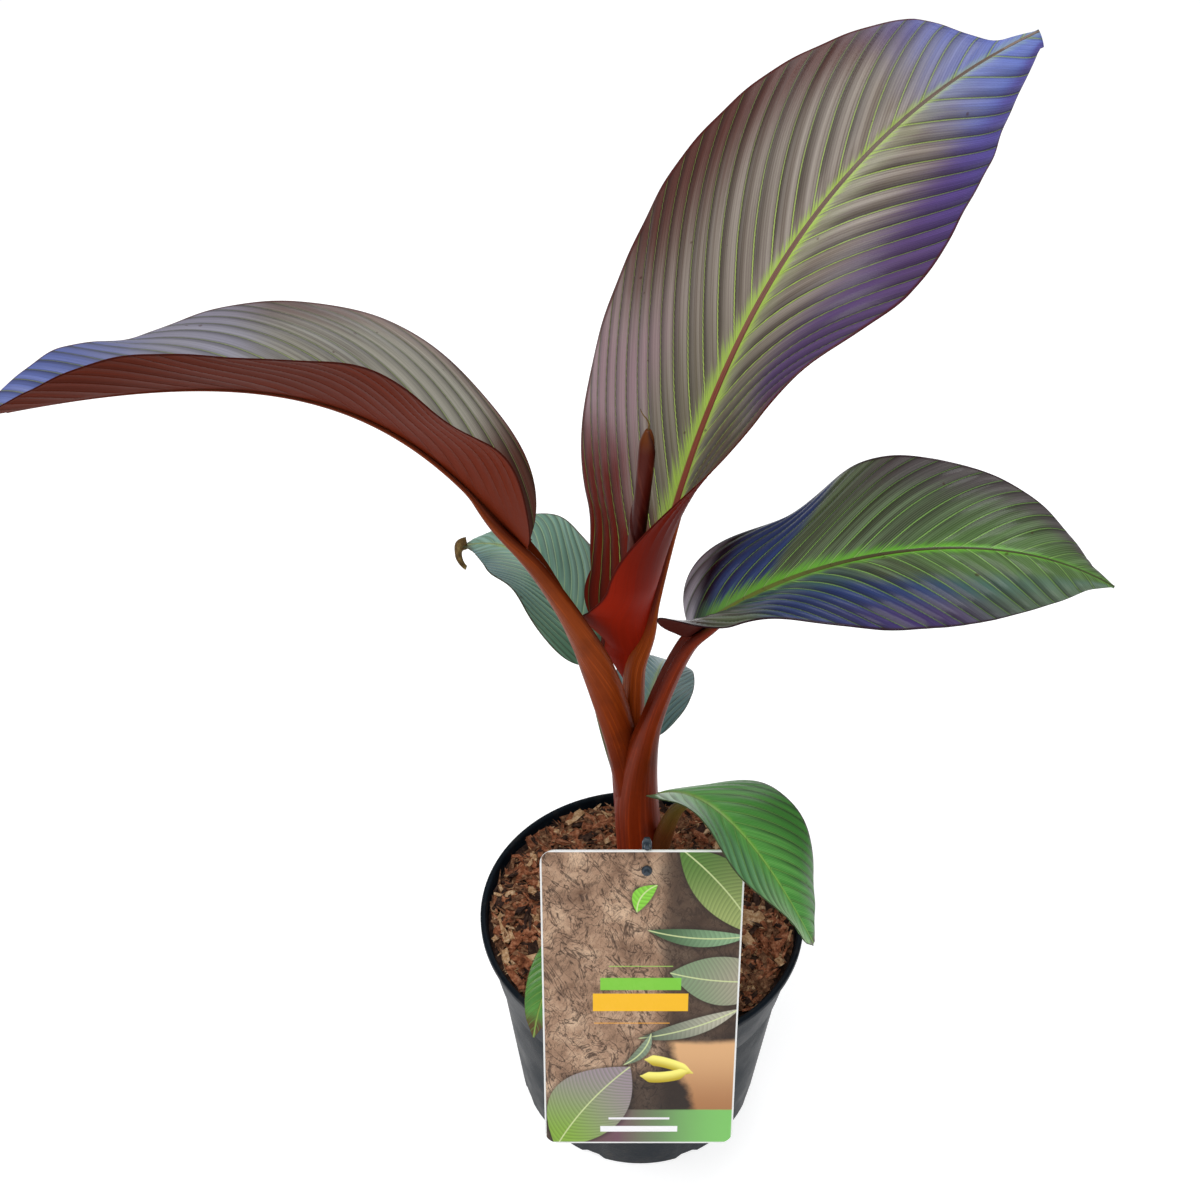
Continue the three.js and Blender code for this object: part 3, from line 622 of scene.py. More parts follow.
class Finish:
    """A material in the making."""

    def __init__(self, name):
        self.material = bpy.data.materials.new(name)
        self.material.use_nodes = True
        self.tree = self.material.node_tree
        self.shader = self.tree.nodes["Principled BSDF"]

    def node(self, kind, settings=None, stops=None, **values):
        """Adds a node: its settings and a ramp's stops first, then its sockets' values or links.
        Socket names are written with _ for spaces, or as in0, in1 ... for their place."""
        made = self.tree.nodes.new(kind)
        for key, value in (settings or {}).items():
            setattr(made, key, value)
        if stops:
            while len(made.color_ramp.elements) < len(stops):
                made.color_ramp.elements.new(0.5)
            for element, (place, colour) in zip(made.color_ramp.elements, stops):
                element.position = place
                element.color = paint(colour)
        for key, value in values.items():
            place = int(key[2:]) if key[:2] == "in" else key.replace("_", " ")
            self.plug(made.inputs[place], value)
        return made

    def plug(self, socket, value):
        """Links a wire to a socket, or sets its number, its vector or its hexadecimal colour."""
        if isinstance(value, Wire):
            self.tree.links.new(value.socket, socket)
        else:
            socket.default_value = paint(value) if isinstance(value, str) else value

    def out(self, made, place=0):
        return Wire(self, made.outputs[place])

    def maths(self, operation, first, second=0.0):
        return self.out(self.node("ShaderNodeMath", {"operation": operation}, in0=first, in1=second))

    def mark(self, name):
        """The three numbers that a mesh carries at each point under this name."""
        made = self.node("ShaderNodeAttribute", {"attribute_name": name})
        parts = self.node("ShaderNodeSeparateXYZ", in0=self.out(made, "Vector"))
        return [self.out(parts, k) for k in range(3)]

    def place(self):
        return self.out(self.node("ShaderNodeTexCoord"), "Object")

    def vector(self, x, y, z=0.0):
        return self.out(self.node("ShaderNodeCombineXYZ", in0=x, in1=y, in2=z))

    def noise(self, vector, scale, detail=2.0, roughness=0.5, distortion=0.0):
        return self.out(self.node("ShaderNodeTexNoise", Vector=vector, Scale=scale, Detail=detail,
                                  Roughness=roughness, Distortion=distortion))

    def ease(self, value, start, end, low=0.0, high=1.0):
        """Goes smoothly from low to high while value goes from start to end."""
        return self.out(self.node("ShaderNodeMapRange", {"interpolation_type": "SMOOTHSTEP"}, Value=value,
                                  From_Min=start, From_Max=end, To_Min=low, To_Max=high))

    def ramp(self, value, stops):
        """Colours at places from 0 to 1, in hexadecimal."""
        return self.out(self.node("ShaderNodeValToRGB", stops=stops, in0=value))

    def blend(self, share, first, second):
        """A share of the second colour over the first."""
        made = self.node("ShaderNodeMix", {"data_type": "RGBA"}, in0=share, in6=first, in7=second)
        return self.out(made, 2)

    def bump(self, height, distance, strength=1.0):
        return self.out(self.node("ShaderNodeBump", Height=height, Distance=distance, Strength=strength))

    def done(self, colour, roughness, normal=None, coat=None, **constants):
        """Plugs in what varies, sets the constants, and gives the material."""
        self.plug(self.shader.inputs["Base Color"], colour)
        self.plug(self.shader.inputs["Roughness"], roughness)
        if normal:
            self.plug(self.shader.inputs["Normal"], normal)
        if coat:
            self.plug(self.shader.inputs["Coat Weight"], coat)
        for key, value in constants.items():
            self.shader.inputs[key.replace("_", " ")].default_value = value
        return self.material


def blade_upper(name, look):
    """Upper side of a blade: coloured zones with some painted sky reflection and a painted highlight, a glow
    beside the midrib, lateral veins with painted pleat shade, painted shade by the midrib, and a fine grain.
    """
    f = Finish(f"{name}_upper")
    across, along, distance = f.mark("leaf_place")
    vein, _, reach = f.mark("leaf_vein")
    wander = f.noise(f.place(), 28, 3)
    streak = f.noise(f.vector(vein * 0.28, distance * 0.012, 3.1), 1, 2)
    feather = f.noise(f.vector(vein * 0.9, distance * 0.035, 5.3), 1, 2)
    thread = f.noise(f.vector(vein * 2.2, distance * 0.03, 7.7), 1, 3)
    colour = f.blend(f.ease(streak, 0.38, 0.66), look["ground"], look["streak"])
    spacing = look["spacing"]
    fine = f.maths("PINGPONG", vein, spacing / 16)
    colour = f.blend(f.ease(fine, 0.0, spacing / 16, 0.16, 0.0), colour, "b4b49a")
    skewed = along + (wander - 0.5) * 0.08 - reach * look.get("skew", 0.0)
    feathered = across + (feather - 0.5) * 0.2
    # Zones: mostly the leaf's own colours. The blue ones are painted sky reflection, the violet ones are the
    # leaf's purple with painted sky reflection in it, and the right leaf's pale grey one is a painted
    # highlight.
    for code, lengthwise, sideways, mask in look["zones"]:
        for place, limits in ((skewed, lengthwise), (feathered, sideways or ())):
            for start, full in zip(limits[::2], limits[1::2]):
                mask = f.ease(place, start, full) * mask
        zone = f.blend(f.ease(thread, 0.3, 0.75), paint(code, 0.8), paint(code, 1.25))
        colour = f.blend(mask, colour, zone)
    shifted = vein + (wander - 0.5) * 1.5
    off_vein = f.maths("PINGPONG", shifted, spacing / 2)
    # Painted shade across each pleat: darkest just beside a vein, fading towards the next one.
    pleat_shade = f.ease(f.maths("FRACT", shifted / spacing), 0.0, 0.7, 0.58, 0.0) * f.ease(distance, 2, 12)
    colour = f.blend(pleat_shade, colour, "140c0a")
    # Painted shade in the valleys: a dark band along each vein, under the pale vein line.
    colour = f.blend(f.ease(off_vein, spacing * 0.14, 0.3, 0.0, 0.45), colour, "120a08")
    glow_colour, glow_reach = look["glow"]
    limit = f.ease(along, 0.1, 0.9, glow_reach, glow_reach * 0.25) * (2.2 * feather - 0.1)
    glow = f.ease(distance, limit, limit * 0.2) * f.ease(along, 0.02, 0.14)
    glow = glow * f.ease(along, 1.0, 0.7, 0.25, 1.0)
    colour = f.blend(glow * f.ease(thread, 0.25, 0.7, 0.55, 1.0), colour, glow_colour)
    line = f.ease(off_vein, 0.65, 0.3)
    strength = f.ease(distance, look["vein_reach"], 4, 0.28, 0.95) * f.ease(along, 0.05, 0.2, 0.2, 1.0)
    strength = strength * f.ease(along, 1.0, 0.6, 0.4, 1.0)
    colour = f.blend(line * strength, colour, look["veins"])
    flecks = f.noise(f.place(), 190, 1)
    colour = f.blend(f.ease(flecks, 0.77, 0.8, 0, 0.6), colour, "3a1c10")
    low, middle, high = look["midrib"]
    rib_colour = f.ramp(along, [(0.0, low), (0.5, middle), (1.0, high)])
    band = f.ease(along, 0.0, 0.9, *look["rib_band"])
    rib = f.ease(distance, band * 1.2, band * 0.85)
    colour = f.blend(rib, colour, rib_colour)
    # Painted shade: a dark line along the midrib's edges, strong on its right side and faint on its left.
    rib_edge_shade = f.ease(distance, band * 0.55, band * 0.8) * f.ease(distance, band * 1.25, band)
    colour = f.blend(rib_edge_shade * f.ease(across, -0.002, 0.002, 0.1, 0.8), colour, "3c160e")
    colour = f.blend(f.ease(reach, 0.97, 0.99, 0, 0.85), colour, look["margin"])
    roughness = look["roughness"] + (thread - 0.5) * 0.25 + rib * 0.05
    coat = f.ease(along, *look.get("sheen", (0.0, 1.0, 0.6, 0.6)))
    height = f.ease(off_vein, 0.0, 0.7) * 0.7 + f.ease(fine, 0.0, spacing / 16) * 0.16 + thread * 0.25
    return f.done(colour, roughness, f.bump(height, 0.0003, 0.9), coat, Specular_IOR_Level=0.06,
                  Coat_Roughness=look.get("coat", 0.34))


def blade_under(name, look):
    """Under side of a blade: broad soft ribs along the veins over a plainer ground."""
    f = Finish(f"{name}_under")
    _, along, distance = f.mark("leaf_place")
    vein, _, reach = f.mark("leaf_vein")
    streak = f.noise(f.vector(vein * 0.6, distance * 0.015, 1.7), 1, 3)
    off_vein = f.maths("PINGPONG", vein, look["spacing"] / 2)
    colour = f.blend(f.ease(along, 0.1, 0.75), look["under"], look["under_far"])
    colour = f.blend(f.ease(streak, 0.3, 0.75, 0.0, 0.3), colour, paint(look["under"], 1.5))
    plain = look.get("plain", 0.06)
    ribbed = f.ease(along, plain, plain + 0.15)
    colour = f.blend(f.ease(off_vein, 1.6, 0.0, 0.0, 0.25) * ribbed, colour, paint(look["under"], 0.4))
    colour = f.blend(f.ease(reach, 0.97, 0.99, 0, 0.8), colour, paint(look["margin"], 0.5))
    height = f.ease(off_vein, 1.2, 0.0) * ribbed + streak * 0.3
    return f.done(colour, 0.55 + (streak - 0.5) * 0.2, f.bump(height, 0.00025, 0.8), Specular_IOR_Level=0.03)


def stalk_finish(name, codes, midrib, channel_shade):
    """Petiole and midrib: long fine streaks, painted shade in the channel, and darker along its edges."""
    f = Finish(f"{name}_skin")
    skin_x, skin_y, skin_z = f.mark("skin")
    top, along, rib = f.mark("leaf_place")
    lines = f.noise(f.vector(skin_x * 0.9, skin_y * 0.9, skin_z * 0.02), 1, 4, 0.6)
    mottle = f.noise(f.place(), 60, 3)
    low, middle, high = codes
    colour = f.ramp(along, [(0.0, low), (0.3, middle), (0.75, high)])
    colour = f.blend(f.ease(lines, 0.52, 0.74, 0, 0.5), colour, paint(codes[1], 2.2))
    colour = f.blend(f.ease(lines, 0.45, 0.25, 0, 0.5), colour, paint(codes[0], 0.4))
    colour = f.blend(f.ease(mottle, 0.5, 0.7, 0, 0.25), colour, "2c100a")
    # Painted shade: the inside of the channel is darkened, as far as channel_shade asks.
    colour = f.blend(f.ease(top, 0.0, 0.6, 0.0, channel_shade), colour, paint(codes[0], 0.3))
    upper = f.ramp(f.ease(rib, 0, 260), [(0.0, midrib[0]), (0.5, midrib[1]), (1.0, midrib[2])])
    upper = f.blend(f.ease(lines, 0.4, 0.65, 0.0, 0.4), upper, "3c160e")
    colour = f.blend(f.ease(rib, 2, 30) * f.ease(top, 0.2, 0.6), colour, upper)
    normal = f.bump(lines, 0.0004, 0.7)
    return f.done(colour, f.ease(lines, 0.3, 0.7, 0.46, 0.32), normal, Specular_IOR_Level=0.06)


def stem_finish():
    """Mahogany leaf sheaths with fine upright streaks and paler free edges."""
    f = Finish("stem_skin")
    skin_x, skin_y, skin_z = f.mark("skin")
    edge, along, layer = f.mark("leaf_place")
    lines = f.noise(f.vector(skin_x * 0.8, skin_y * 0.8, skin_z * 0.02), 1, 4, 0.6)
    colour = f.ramp(along, [(0.0, "4a1a0c"), (0.2, "6a1a0a"), (1.0, "74200c")])
    colour = f.blend(f.ease(layer, 0.0, 1.0, 0.0, 0.5), colour, "741f12")
    colour = f.blend(f.ease(lines, 0.5, 0.72, 0, 0.45), colour, "9a4a2a")
    colour = f.blend(f.ease(lines, 0.47, 0.28, 0, 0.5), colour, "2a0c08")
    colour = f.blend(f.ease(edge, 0.5, 1.0, 0.0, 0.7), colour, "2a0c08")
    normal = f.bump(lines, 0.0005, 0.7)
    return f.done(colour, f.ease(lines, 0.3, 0.7, 0.5, 0.36), normal, Specular_IOR_Level=0.06)


def spear_finish():
    """Rolled young leaf: dark wine red with a wrap line, turning orange-brown at its tip."""
    f = Finish("spear_skin")
    wrap, along, _ = f.mark("leaf_place")
    _, _, skin_z = f.mark("skin")
    streak = f.noise(f.vector(wrap * 6, skin_z * 0.05, 0.3), 1, 3)
    colour = f.ramp(along, [(0.0, "360c08"), (0.6, "440f0a"), (0.9, "4c160a"),
                            (0.98, "5e3014")])
    colour = f.blend(f.ease(wrap, 0.86, 0.98, 0.0, 0.75), colour, "2a0c0c")
    colour = f.blend(f.ease(streak, 0.5, 0.72, 0, 0.35), colour, "7c3a28")
    return f.done(colour, 0.45, f.bump(streak, 0.0003, 0.8), Specular_IOR_Level=0.12)


def dry_finish(name="dry_leaf"):
    """Withered, papery leaf."""
    f = Finish(name)
    grain = f.noise(f.place(), 320, 4, 0.6)
    colour = f.ramp(grain, [(0.3, "3c2a18"), (0.55, "6c5430"), (0.75, "96804e")])
    return f.done(colour, 0.8, f.bump(grain, 0.0005), Specular_IOR_Level=0.2)


def pot_finish():
    """Moulded black plastic: fine moulding grain, dull scuffs and soil dust near the rim and foot."""
    f = Finish("pot_plastic")
    place = f.place()
    _, _, height = [f.out(f.node("ShaderNodeSeparateXYZ", in0=place), k) for k in range(3)]
    grain = f.noise(place, 900, 3, 0.6)
    scuff = f.noise(place, 35, 5, 0.65)
    dust = f.noise(place, 160, 4, 0.6)
    colour = f.ramp(scuff, [(0.3, "0b1118"), (0.6, "121a22"), (0.8, "1a242e")])
    low = f.ease(height, 0.03, 0.0, 0.0, 0.12) + f.ease(height, 0.115, 0.135, 0.0, 0.08)
    colour = f.blend(low * f.ease(dust, 0.5, 0.7), colour, "6a5c4e")
    roughness = f.ease(scuff, 0.3, 0.75, 0.38, 0.55)
    return f.done(colour, roughness, f.bump(grain + 0.5 * scuff, 0.00012), Specular_IOR_Level=0.07)


def bark_finish(name, dark, middle, pale):
    """Pine bark in one tone, grained along its own mottle."""
    f = Finish(name)
    place = f.place()
    grain = f.noise(place, 420, 4, 0.65)
    patch = f.noise(place, 90, 2)
    colour = f.ramp(grain, [(0.28, dark), (0.5, middle), (0.74, pale)])
    colour = f.blend(f.ease(patch, 0.5, 0.75, 0, 0.45), colour, dark)
    return f.done(colour, 0.85, f.bump(grain, 0.0009), Specular_IOR_Level=0.2)


# ---------------------------------------------------------------- settings

class PotSettings(bpy.types.PropertyGroup):
    steps: IntProperty(name="Steps", description="Facets round the pot", default=128, min=24)
    notches: IntProperty(name="Drain notches", description="Openings round the foot", default=8, min=0)
    edge: FloatProperty(name="Edge rounding", description="Radius of the moulded edges", default=0.0005,
                        unit="LENGTH")


class BarkSettings(bpy.types.PropertyGroup):
    chips: IntProperty(name="Chips", description="Number of bark chips", default=2500, min=0)
    slivers: IntProperty(name="Slivers", description="Number of splinters and fibres", default=2000, min=0)
    seed: IntProperty(name="Seed", description="Changes how the bark lies", default=11)
    longest: FloatProperty(name="Longest chip", description="Length of the longest chip", default=0.0155,
                           unit="LENGTH")


class LeafSettings(bpy.types.PropertyGroup):
    thickness: FloatProperty(name="Blade thickness", description="Thickness of a blade", default=0.00045,
                             unit="LENGTH")
    relief: FloatProperty(name="Pleats", description="Height of the pleats", default=0.0009, unit="LENGTH")
    rows: IntProperty(name="Rows", description="Rows of faces along a big blade", default=300, min=40)


class StageSettings(bpy.types.PropertyGroup):
    lens: FloatProperty(name="Lens", description="Focal length", default=0.04, unit="CAMERA")
    pitch: FloatProperty(name="Pitch", description="How far the camera looks down",
                         default=math.radians(37.4), subtype="ANGLE")
    eye: FloatVectorProperty(name="Eye", description="Place of the camera", default=(-0.022, -0.461, 0.691),
                             subtype="TRANSLATION")
    floor: FloatVectorProperty(name="Floor", description="Colour of the floor", default=(0.55, 0.55, 0.55),
                               subtype="COLOR")
    sky: FloatProperty(name="Sky", description="Strength of the light from all round", default=0.34)


SETTINGS = {
    "plant_pot": PotSettings,
    "plant_bark": BarkSettings,
    "plant_leaf": LeafSettings,
    "plant_stage": StageSettings,
}


# ---------------------------------------------------------------- pieces

def spun(profile, steps):
    """Turns a closed-in profile of (radius, height) points round the upright axis."""
    bm = bmesh.new()
    verts = [bm.verts.new((r * MM, 0, z * MM)) for r, z in profile]
    edges = [bm.edges.new(pair) for pair in zip(verts[:-1], verts[1:])]
    bmesh.ops.spin(bm, geom=verts + edges, cent=(0, 0, 0), axis=(0, 0, 1), angle=2 * math.pi, steps=steps,
                   use_merge=True)
    bmesh.ops.remove_doubles(bm, verts=bm.verts, dist=1e-6)
    bmesh.ops.recalc_face_normals(bm, faces=bm.faces)
    return bm


class PLANT_OT_pot(bpy.types.Operator):
    """Makes the nursery pot with its collar, rolled lip and drain notches"""
    bl_idname = "plant.pot"
    bl_label = "Pot"

    def execute(self, context):
        settings = context.scene.plant_pot
        rim, foot, waist, collar, step, lip, wall = RIM_RADIUS, 67.5, 76.5, 78, 99, 131, 1.6
        top = POT_HEIGHT
        profile = [
            (0, 2.6), (52, 2.6), (56, 0.0), (foot - 0.8, 0.0), (foot, 0.8), (waist - 0.6, step - 8),
            (waist, step - 1.2), (waist + 0.2, step), (collar - 0.4, step), (collar, step + 0.8),
            (rim - 1.9, lip - 0.6), (rim - 1.2, lip), (rim - 0.5, lip), (rim, lip + 0.6), (rim, top - 0.7),
            (rim - 0.7, top), (rim - 2.2, top), (rim - wall - 1.4, top - 0.8), (collar - wall, step + wall),
            (waist - wall, step - wall), (foot - wall, 4.4), (0, 4.4),
        ]
        bm = spun(profile, settings.steps)
        pitch = 2 * math.pi / max(1, settings.notches)
        notch_half, notch_height = 0.09, 2.6
        for vert in bm.verts:
            angle = math.atan2(vert.co.y, vert.co.x) % pitch
            radius = math.hypot(vert.co.x, vert.co.y) / MM
            if vert.co.z < 1.2 * MM and radius > 55 and abs(angle - pitch / 2) < notch_half:
                vert.co.z += notch_height * MM
        piece = finish_mesh(bm, "nursery_pot", [pot_finish()], "pot", "pot")
        add_modifier(piece, "BEVEL", width=settings.edge * 0.6, segments=2, limit_method="ANGLE",
                     angle_limit=math.radians(28), profile=0.5)
        return {"FINISHED"}


def chip_forms(rng, count, roundness):
    """A few irregular chips, each about one long, as arrays of points and triangles."""
    forms = []
    for _ in range(count):
        bm = bmesh.new()
        bmesh.ops.create_cube(bm, size=1)
        bmesh.ops.subdivide_edges(bm, edges=bm.edges, cuts=1, use_grid_fill=True)
        for vert in bm.verts:
            taper = 1 - roundness * abs(vert.co.x) * 2
            vert.co.y *= taper
            vert.co.z *= taper
            vert.co += Vector([rng.uniform(-0.1, 0.1) for _ in range(3)])
        bmesh.ops.triangulate(bm, faces=bm.faces)
        bm.verts.ensure_lookup_table()
        points = np.array([vert.co for vert in bm.verts])
        faces = np.array([[vert.index for vert in face.verts] for face in bm.faces])
        forms.append((points, faces))
        bm.free()
    return forms


BED_RADIUS = 81.0
BARK_REACH = 79.5                 # how far from the axis a chip's middle may lie
STEM_CLEAR = 12.5                 # and how near to the stem's


def ground_height(x, y):
    """Height of the potting mix, in millimetres: low at the wall, banked up to the stem."""
    radius = math.hypot(x, y)
    bank = 4.0 * math.exp(-(radius / 22) ** 2)
    rough = 1.1 * math.sin(x / 6.1 + 1.2) * math.sin(y / 5.3)
    rough += 0.7 * math.sin(x / 2.9) * math.sin(y / 3.3 + 0.7)
    return SOIL_LEVEL - 2.6 + bank + rough - 0.5 * max(0, radius - 66) / 10


def scatter(rng, forms, count, lengths, slender, tilt):
    """Lays copies of the forms on the potting mix, clear of the stem and the wall, and joins them."""
    all_points = []
    all_faces = []
    offset = 0
    while len(all_points) < count:
        angle = rng.uniform(0, 2 * math.pi)
        radius = BARK_REACH * math.sqrt(rng.random())
        x, y = radius * math.cos(angle), radius * math.sin(angle)
        if math.hypot(x - STEM["path"][0][0], y) < STEM_CLEAR:
            continue
        points, faces = rng.choice(forms)
        length = rng.uniform(*lengths)
        width = length * rng.uniform(*slender)
        thick = width * rng.uniform(0.3, 0.6)
        turn = (Matrix.Rotation(rng.uniform(0, 2 * math.pi), 3, "Z")
                @ Matrix.Rotation(math.radians(rng.gauss(0, tilt)), 3, "Y")
                @ Matrix.Rotation(math.radians(rng.gauss(0, tilt)), 3, "X"))
        sunk = rng.uniform(0.0, 3.2)
        placed = (points * (length, width, thick)) @ np.array(turn).T + (x, y, ground_height(x, y) + sunk)
        outer = np.hypot(placed[:, 0], placed[:, 1]).max()
        if outer > BARK_REACH + 1.6:
            continue
        all_points.append(placed * MM)
        all_faces.append(faces + offset)
        offset += len(points)
    return np.concatenate(all_points), np.concatenate(all_faces)


BARK_TONES = {                    # share of the chips, and dark, middle and pale colours
    "red": (0.38, "3c1a0e", "94583a", "cc9270"),
    "brown": (0.3, "30190f", "785038", "b08a68"),
    "tan": (0.12, "86603e", "c49a72", "ecd0ac"),
    "dark": (0.2, "140c0a", "3a241c", "5c4638"),
}


class PLANT_OT_bark(bpy.types.Operator):
    """Fills the pot with bark: a rough bed in the dark tone that paints the shade between the chips, chips in
    four tones and thin splinters
    """
    bl_idname = "plant.bark"
    bl_label = "Potting bark"

    def execute(self, context):
        settings = context.scene.plant_bark
        rng = random.Random(settings.seed)

        def bed(across, along):
            angle = np.pi * across
            radius = BED_RADIUS * along
            x, y = radius * np.cos(angle), radius * np.sin(angle)
            z = np.array([ground_height(a, b) for a, b in zip(x, y)])
            return np.stack((x, y, z), 1), {}

        mesh = bent_grid("potting_bed", 160, 70, bed)
        bm = bmesh.new()
        bm.from_mesh(mesh)
        bmesh.ops.remove_doubles(bm, verts=bm.verts, dist=1e-6)
        rim = [edge for edge in bm.edges if edge.is_boundary]
        skirt = bmesh.ops.extrude_edge_only(bm, edges=rim)["geom"]
        foot_share, foot_height = 0.74, 5
        for vert in skirt:
            if isinstance(vert, bmesh.types.BMVert):
                vert.co = Vector((vert.co.x * foot_share, vert.co.y * foot_share, foot_height * MM))
        bmesh.ops.holes_fill(bm, edges=[edge for edge in bm.edges if edge.is_boundary], sides=0)
        bmesh.ops.recalc_face_normals(bm, faces=bm.faces)
        # The bed takes the dark bark tone, which paints the shade in the gaps between the chips.
        soil = bark_finish("bark_bed_painted_shade", *BARK_TONES["dark"][1:])
        finish_mesh(bm, "potting_bed", [soil], "bark", "root_ball")
        blunt = chip_forms(rng, 14, 0.25)
        sharp = chip_forms(rng, 8, 0.7)
        longest = settings.longest / MM
        kinds = (
            ("chips", blunt, settings.chips, (0.3 * longest, longest), (0.16, 0.42), 20),
            ("slivers", sharp, settings.slivers, (0.35 * longest, 1.15 * longest), (0.07, 0.16), 13),
        )
        for tone, (share, *colours) in BARK_TONES.items():
            finish = bark_finish(f"bark_{tone}", *colours)
            for kind, forms, total, lengths, slender, tilt in kinds:
                points, faces = scatter(rng, forms, int(total * share), lengths, slender, tilt)
                mesh = bpy.data.meshes.new(f"bark_{kind}_{tone}")
                mesh.from_pydata(points, [], faces)
                finish_piece(mesh, mesh.name, [finish], "bark")
                flat_faces(mesh)
        return {"FINISHED"}


class PLANT_OT_stem(bpy.types.Operator):
    """Makes the false stem of overlapping leaf sheaths"""
    bl_idname = "plant.stem"
    bl_label = "Stem"

    def execute(self, context):
        def bend(across, along):
            angle = np.pi * across
            centre = bezier(STEM["path"], along)
            radius = STEM["foot"] + (STEM["top"] - STEM["foot"]) * along
            height = centre[:, 2]
            edges = (
                (np.radians(-128) + np.radians(62) * smooth((height - 165) / 70), 0.9),
                (np.radians(52) - np.radians(40) * (height - 118) / 120, 0.6),
                (np.radians(140) + np.radians(30) * (height - 118) / 120, 0.7),
            )
            rise = np.zeros_like(angle)
            line = np.zeros_like(angle)
            layer = np.zeros_like(angle)
            for edge, depth in edges:
                past = (angle - edge + np.pi) % (2 * np.pi) - np.pi
                rise += depth * smooth(past / 0.05 + 0.5) * smooth((2.4 - past) / 2.2) * (past > -0.1)
                line = np.maximum(line, np.exp(-((past + 0.03) / 0.035) ** 2))
                layer += smooth(past / 0.05 + 0.5) * (past < 1.8) / 3
            flare = 1.6 * np.exp(-(height - 116) / 9)
            ribs = 0.10 * np.sin(26 * angle + height / 30) + 0.07 * np.sin(41 * angle - height / 50)
            size = radius + rise + flare + ribs - 0.5
            return centre + level_ring(angle, size), {
                "skin": np.stack((np.cos(angle) * 11, np.sin(angle) * 11, height), 1),
                "leaf_place": np.stack((line, along, layer), 1),
            }
        mesh = bent_tube("sheath_stem", 220, 90, bend)
        finish_piece(mesh, "sheath_stem", [stem_finish()], "pseudostem", "pseudostem")
        return {"FINISHED"}


class PLANT_OT_leaves(bpy.types.Operator):
    """Makes every leaf: its pleated blade, and its petiole running on as the midrib"""
    bl_idname = "plant.leaves"
    bl_label = "Leaves"

    def execute(self, context):
        settings = context.scene.plant_leaf
        for name, leaf in LEAVES.items():
            look = LOOKS[name]
            big = name in BIG_LEAVES
            rows = settings.rows if big else settings.rows // 2
            columns = int(rows * 0.36)
            relief = settings.relief / MM * look.get("relief", 1 if big else 0.55)
            mesh = bent_grid(f"leaf_{name}", columns, rows, blade_shape(leaf, look, columns, relief))
            slot = "leaf_red" if big else "leaf_green"
            finishes = [blade_upper(name, look), blade_under(name, look)]
            blade = finish_piece(mesh, f"leaf_{name}", finishes, slot, f"blade_{name}")
            add_modifier(blade, "SOLIDIFY", thickness=settings.thickness, offset=-1, use_rim=True,
                         material_offset=1, material_offset_rim=1)
            facets, rings = (40, 240) if big else (24, 130)
            stalk = bent_tube(f"stalk_{name}", facets, rings, stalk_shape(leaf))
            # The channel's share also sets the strength of its painted shade.
            skin = stalk_finish(name, STALK_LOOKS[name], look["midrib"], leaf.get("channel", 1.0) * 0.8)
            finish_piece(stalk, f"stalk_{name}", [skin], "petiole", f"petiole_{name}")

        def shrivel(across, along):
            path = [(-88, 82, 311), (-94, 81, 310), (-94, 79, 303), (-89, 77, 299)]
            way = bezier_way(path, along)
            half = (3.4 - 2.6 * along) * (1 + 0.15 * np.sin(9 * along))
            sideways = np.stack((way[:, 2], 0 * half, -way[:, 0]), 1)
            points = bezier(path, along) + sideways * (across * half)[:, None]
            points[:, 1] += 1.6 * across ** 2 + 0.4 * np.sin(11 * along + 4 * across)
            return points, {}
        mesh = bent_grid("withered_tip", 10, 30, shrivel)
        tip = finish_piece(mesh, "withered_tip", [dry_finish("withered")], "leaf_green")
        add_modifier(tip, "SOLIDIFY", thickness=settings.thickness, offset=0)
        return {"FINISHED"}


class PLANT_OT_spear(bpy.types.Operator):
    """Makes the rolled young leaf with its withered thread"""
    bl_idname = "plant.spear"
    bl_label = "Rolled leaf"

    def execute(self, context):
        def bend(across, along):
            angle = np.pi * across
            centre = bezier(SPEAR["path"], along)
            wrap = (across / 2 + 0.5 + 1.7 * along) % 1.0
            taper = 0.35 + 0.65 * smooth((1 - along) / 0.07) ** 0.5
            size = (SPEAR["foot"] + (SPEAR["tip"] - SPEAR["foot"]) * along ** 2) * (1.0 + 0.24 * wrap) * taper
            return centre + level_ring(angle, size), {
                "skin": np.stack((np.cos(angle), np.sin(angle), centre[:, 2]), 1),
                "leaf_place": np.stack((wrap, along, angle), 1),
            }
        mesh = bent_tube("rolled_spear", 64, 140, bend)
        finish_piece(mesh, "rolled_spear", [spear_finish()], "rolled_leaf", "spear")

        def curl(across, along):
            angle = np.pi * across
            twist = 5 * along
            tip = np.array(SPEAR["path"][3], float)
            centre = np.stack((tip[0] - 1.5 * along + 1.8 * np.sin(twist) * along,
                               tip[1] + 1.2 * np.cos(twist) * along,
                               tip[2] - 3 + 15 * along - 3 * along ** 2), 1)
            size = 0.55 * (1 - 0.75 * along)
            ring = np.stack((np.cos(angle) * size, np.sin(angle) * size, 0.4 * np.sin(angle) * size), 1)
            return centre + ring, {}
        finish_piece(bent_tube("spear_thread", 10, 40, curl), "spear_thread", [dry_finish()], "rolled_leaf")
        return {"FINISHED"}


def label_frame():
    """Matrix of the leaning card: its own x across, y up the card and z towards the front."""
    lean = math.radians(LABEL["lean"])
    up = Vector((0, math.sin(lean), math.cos(lean)))
    front = Vector((0, -math.cos(lean), math.sin(lean)))
    foot = Vector((LABEL["centre"], -RIM_RADIUS, POT_HEIGHT)) + front * LABEL["gap"] - up * LABEL["below_rim"]
    columns = Matrix((Vector((1, 0, 0)), up, front)).transposed().to_4x4()
    return Matrix.Translation(foot) @ columns


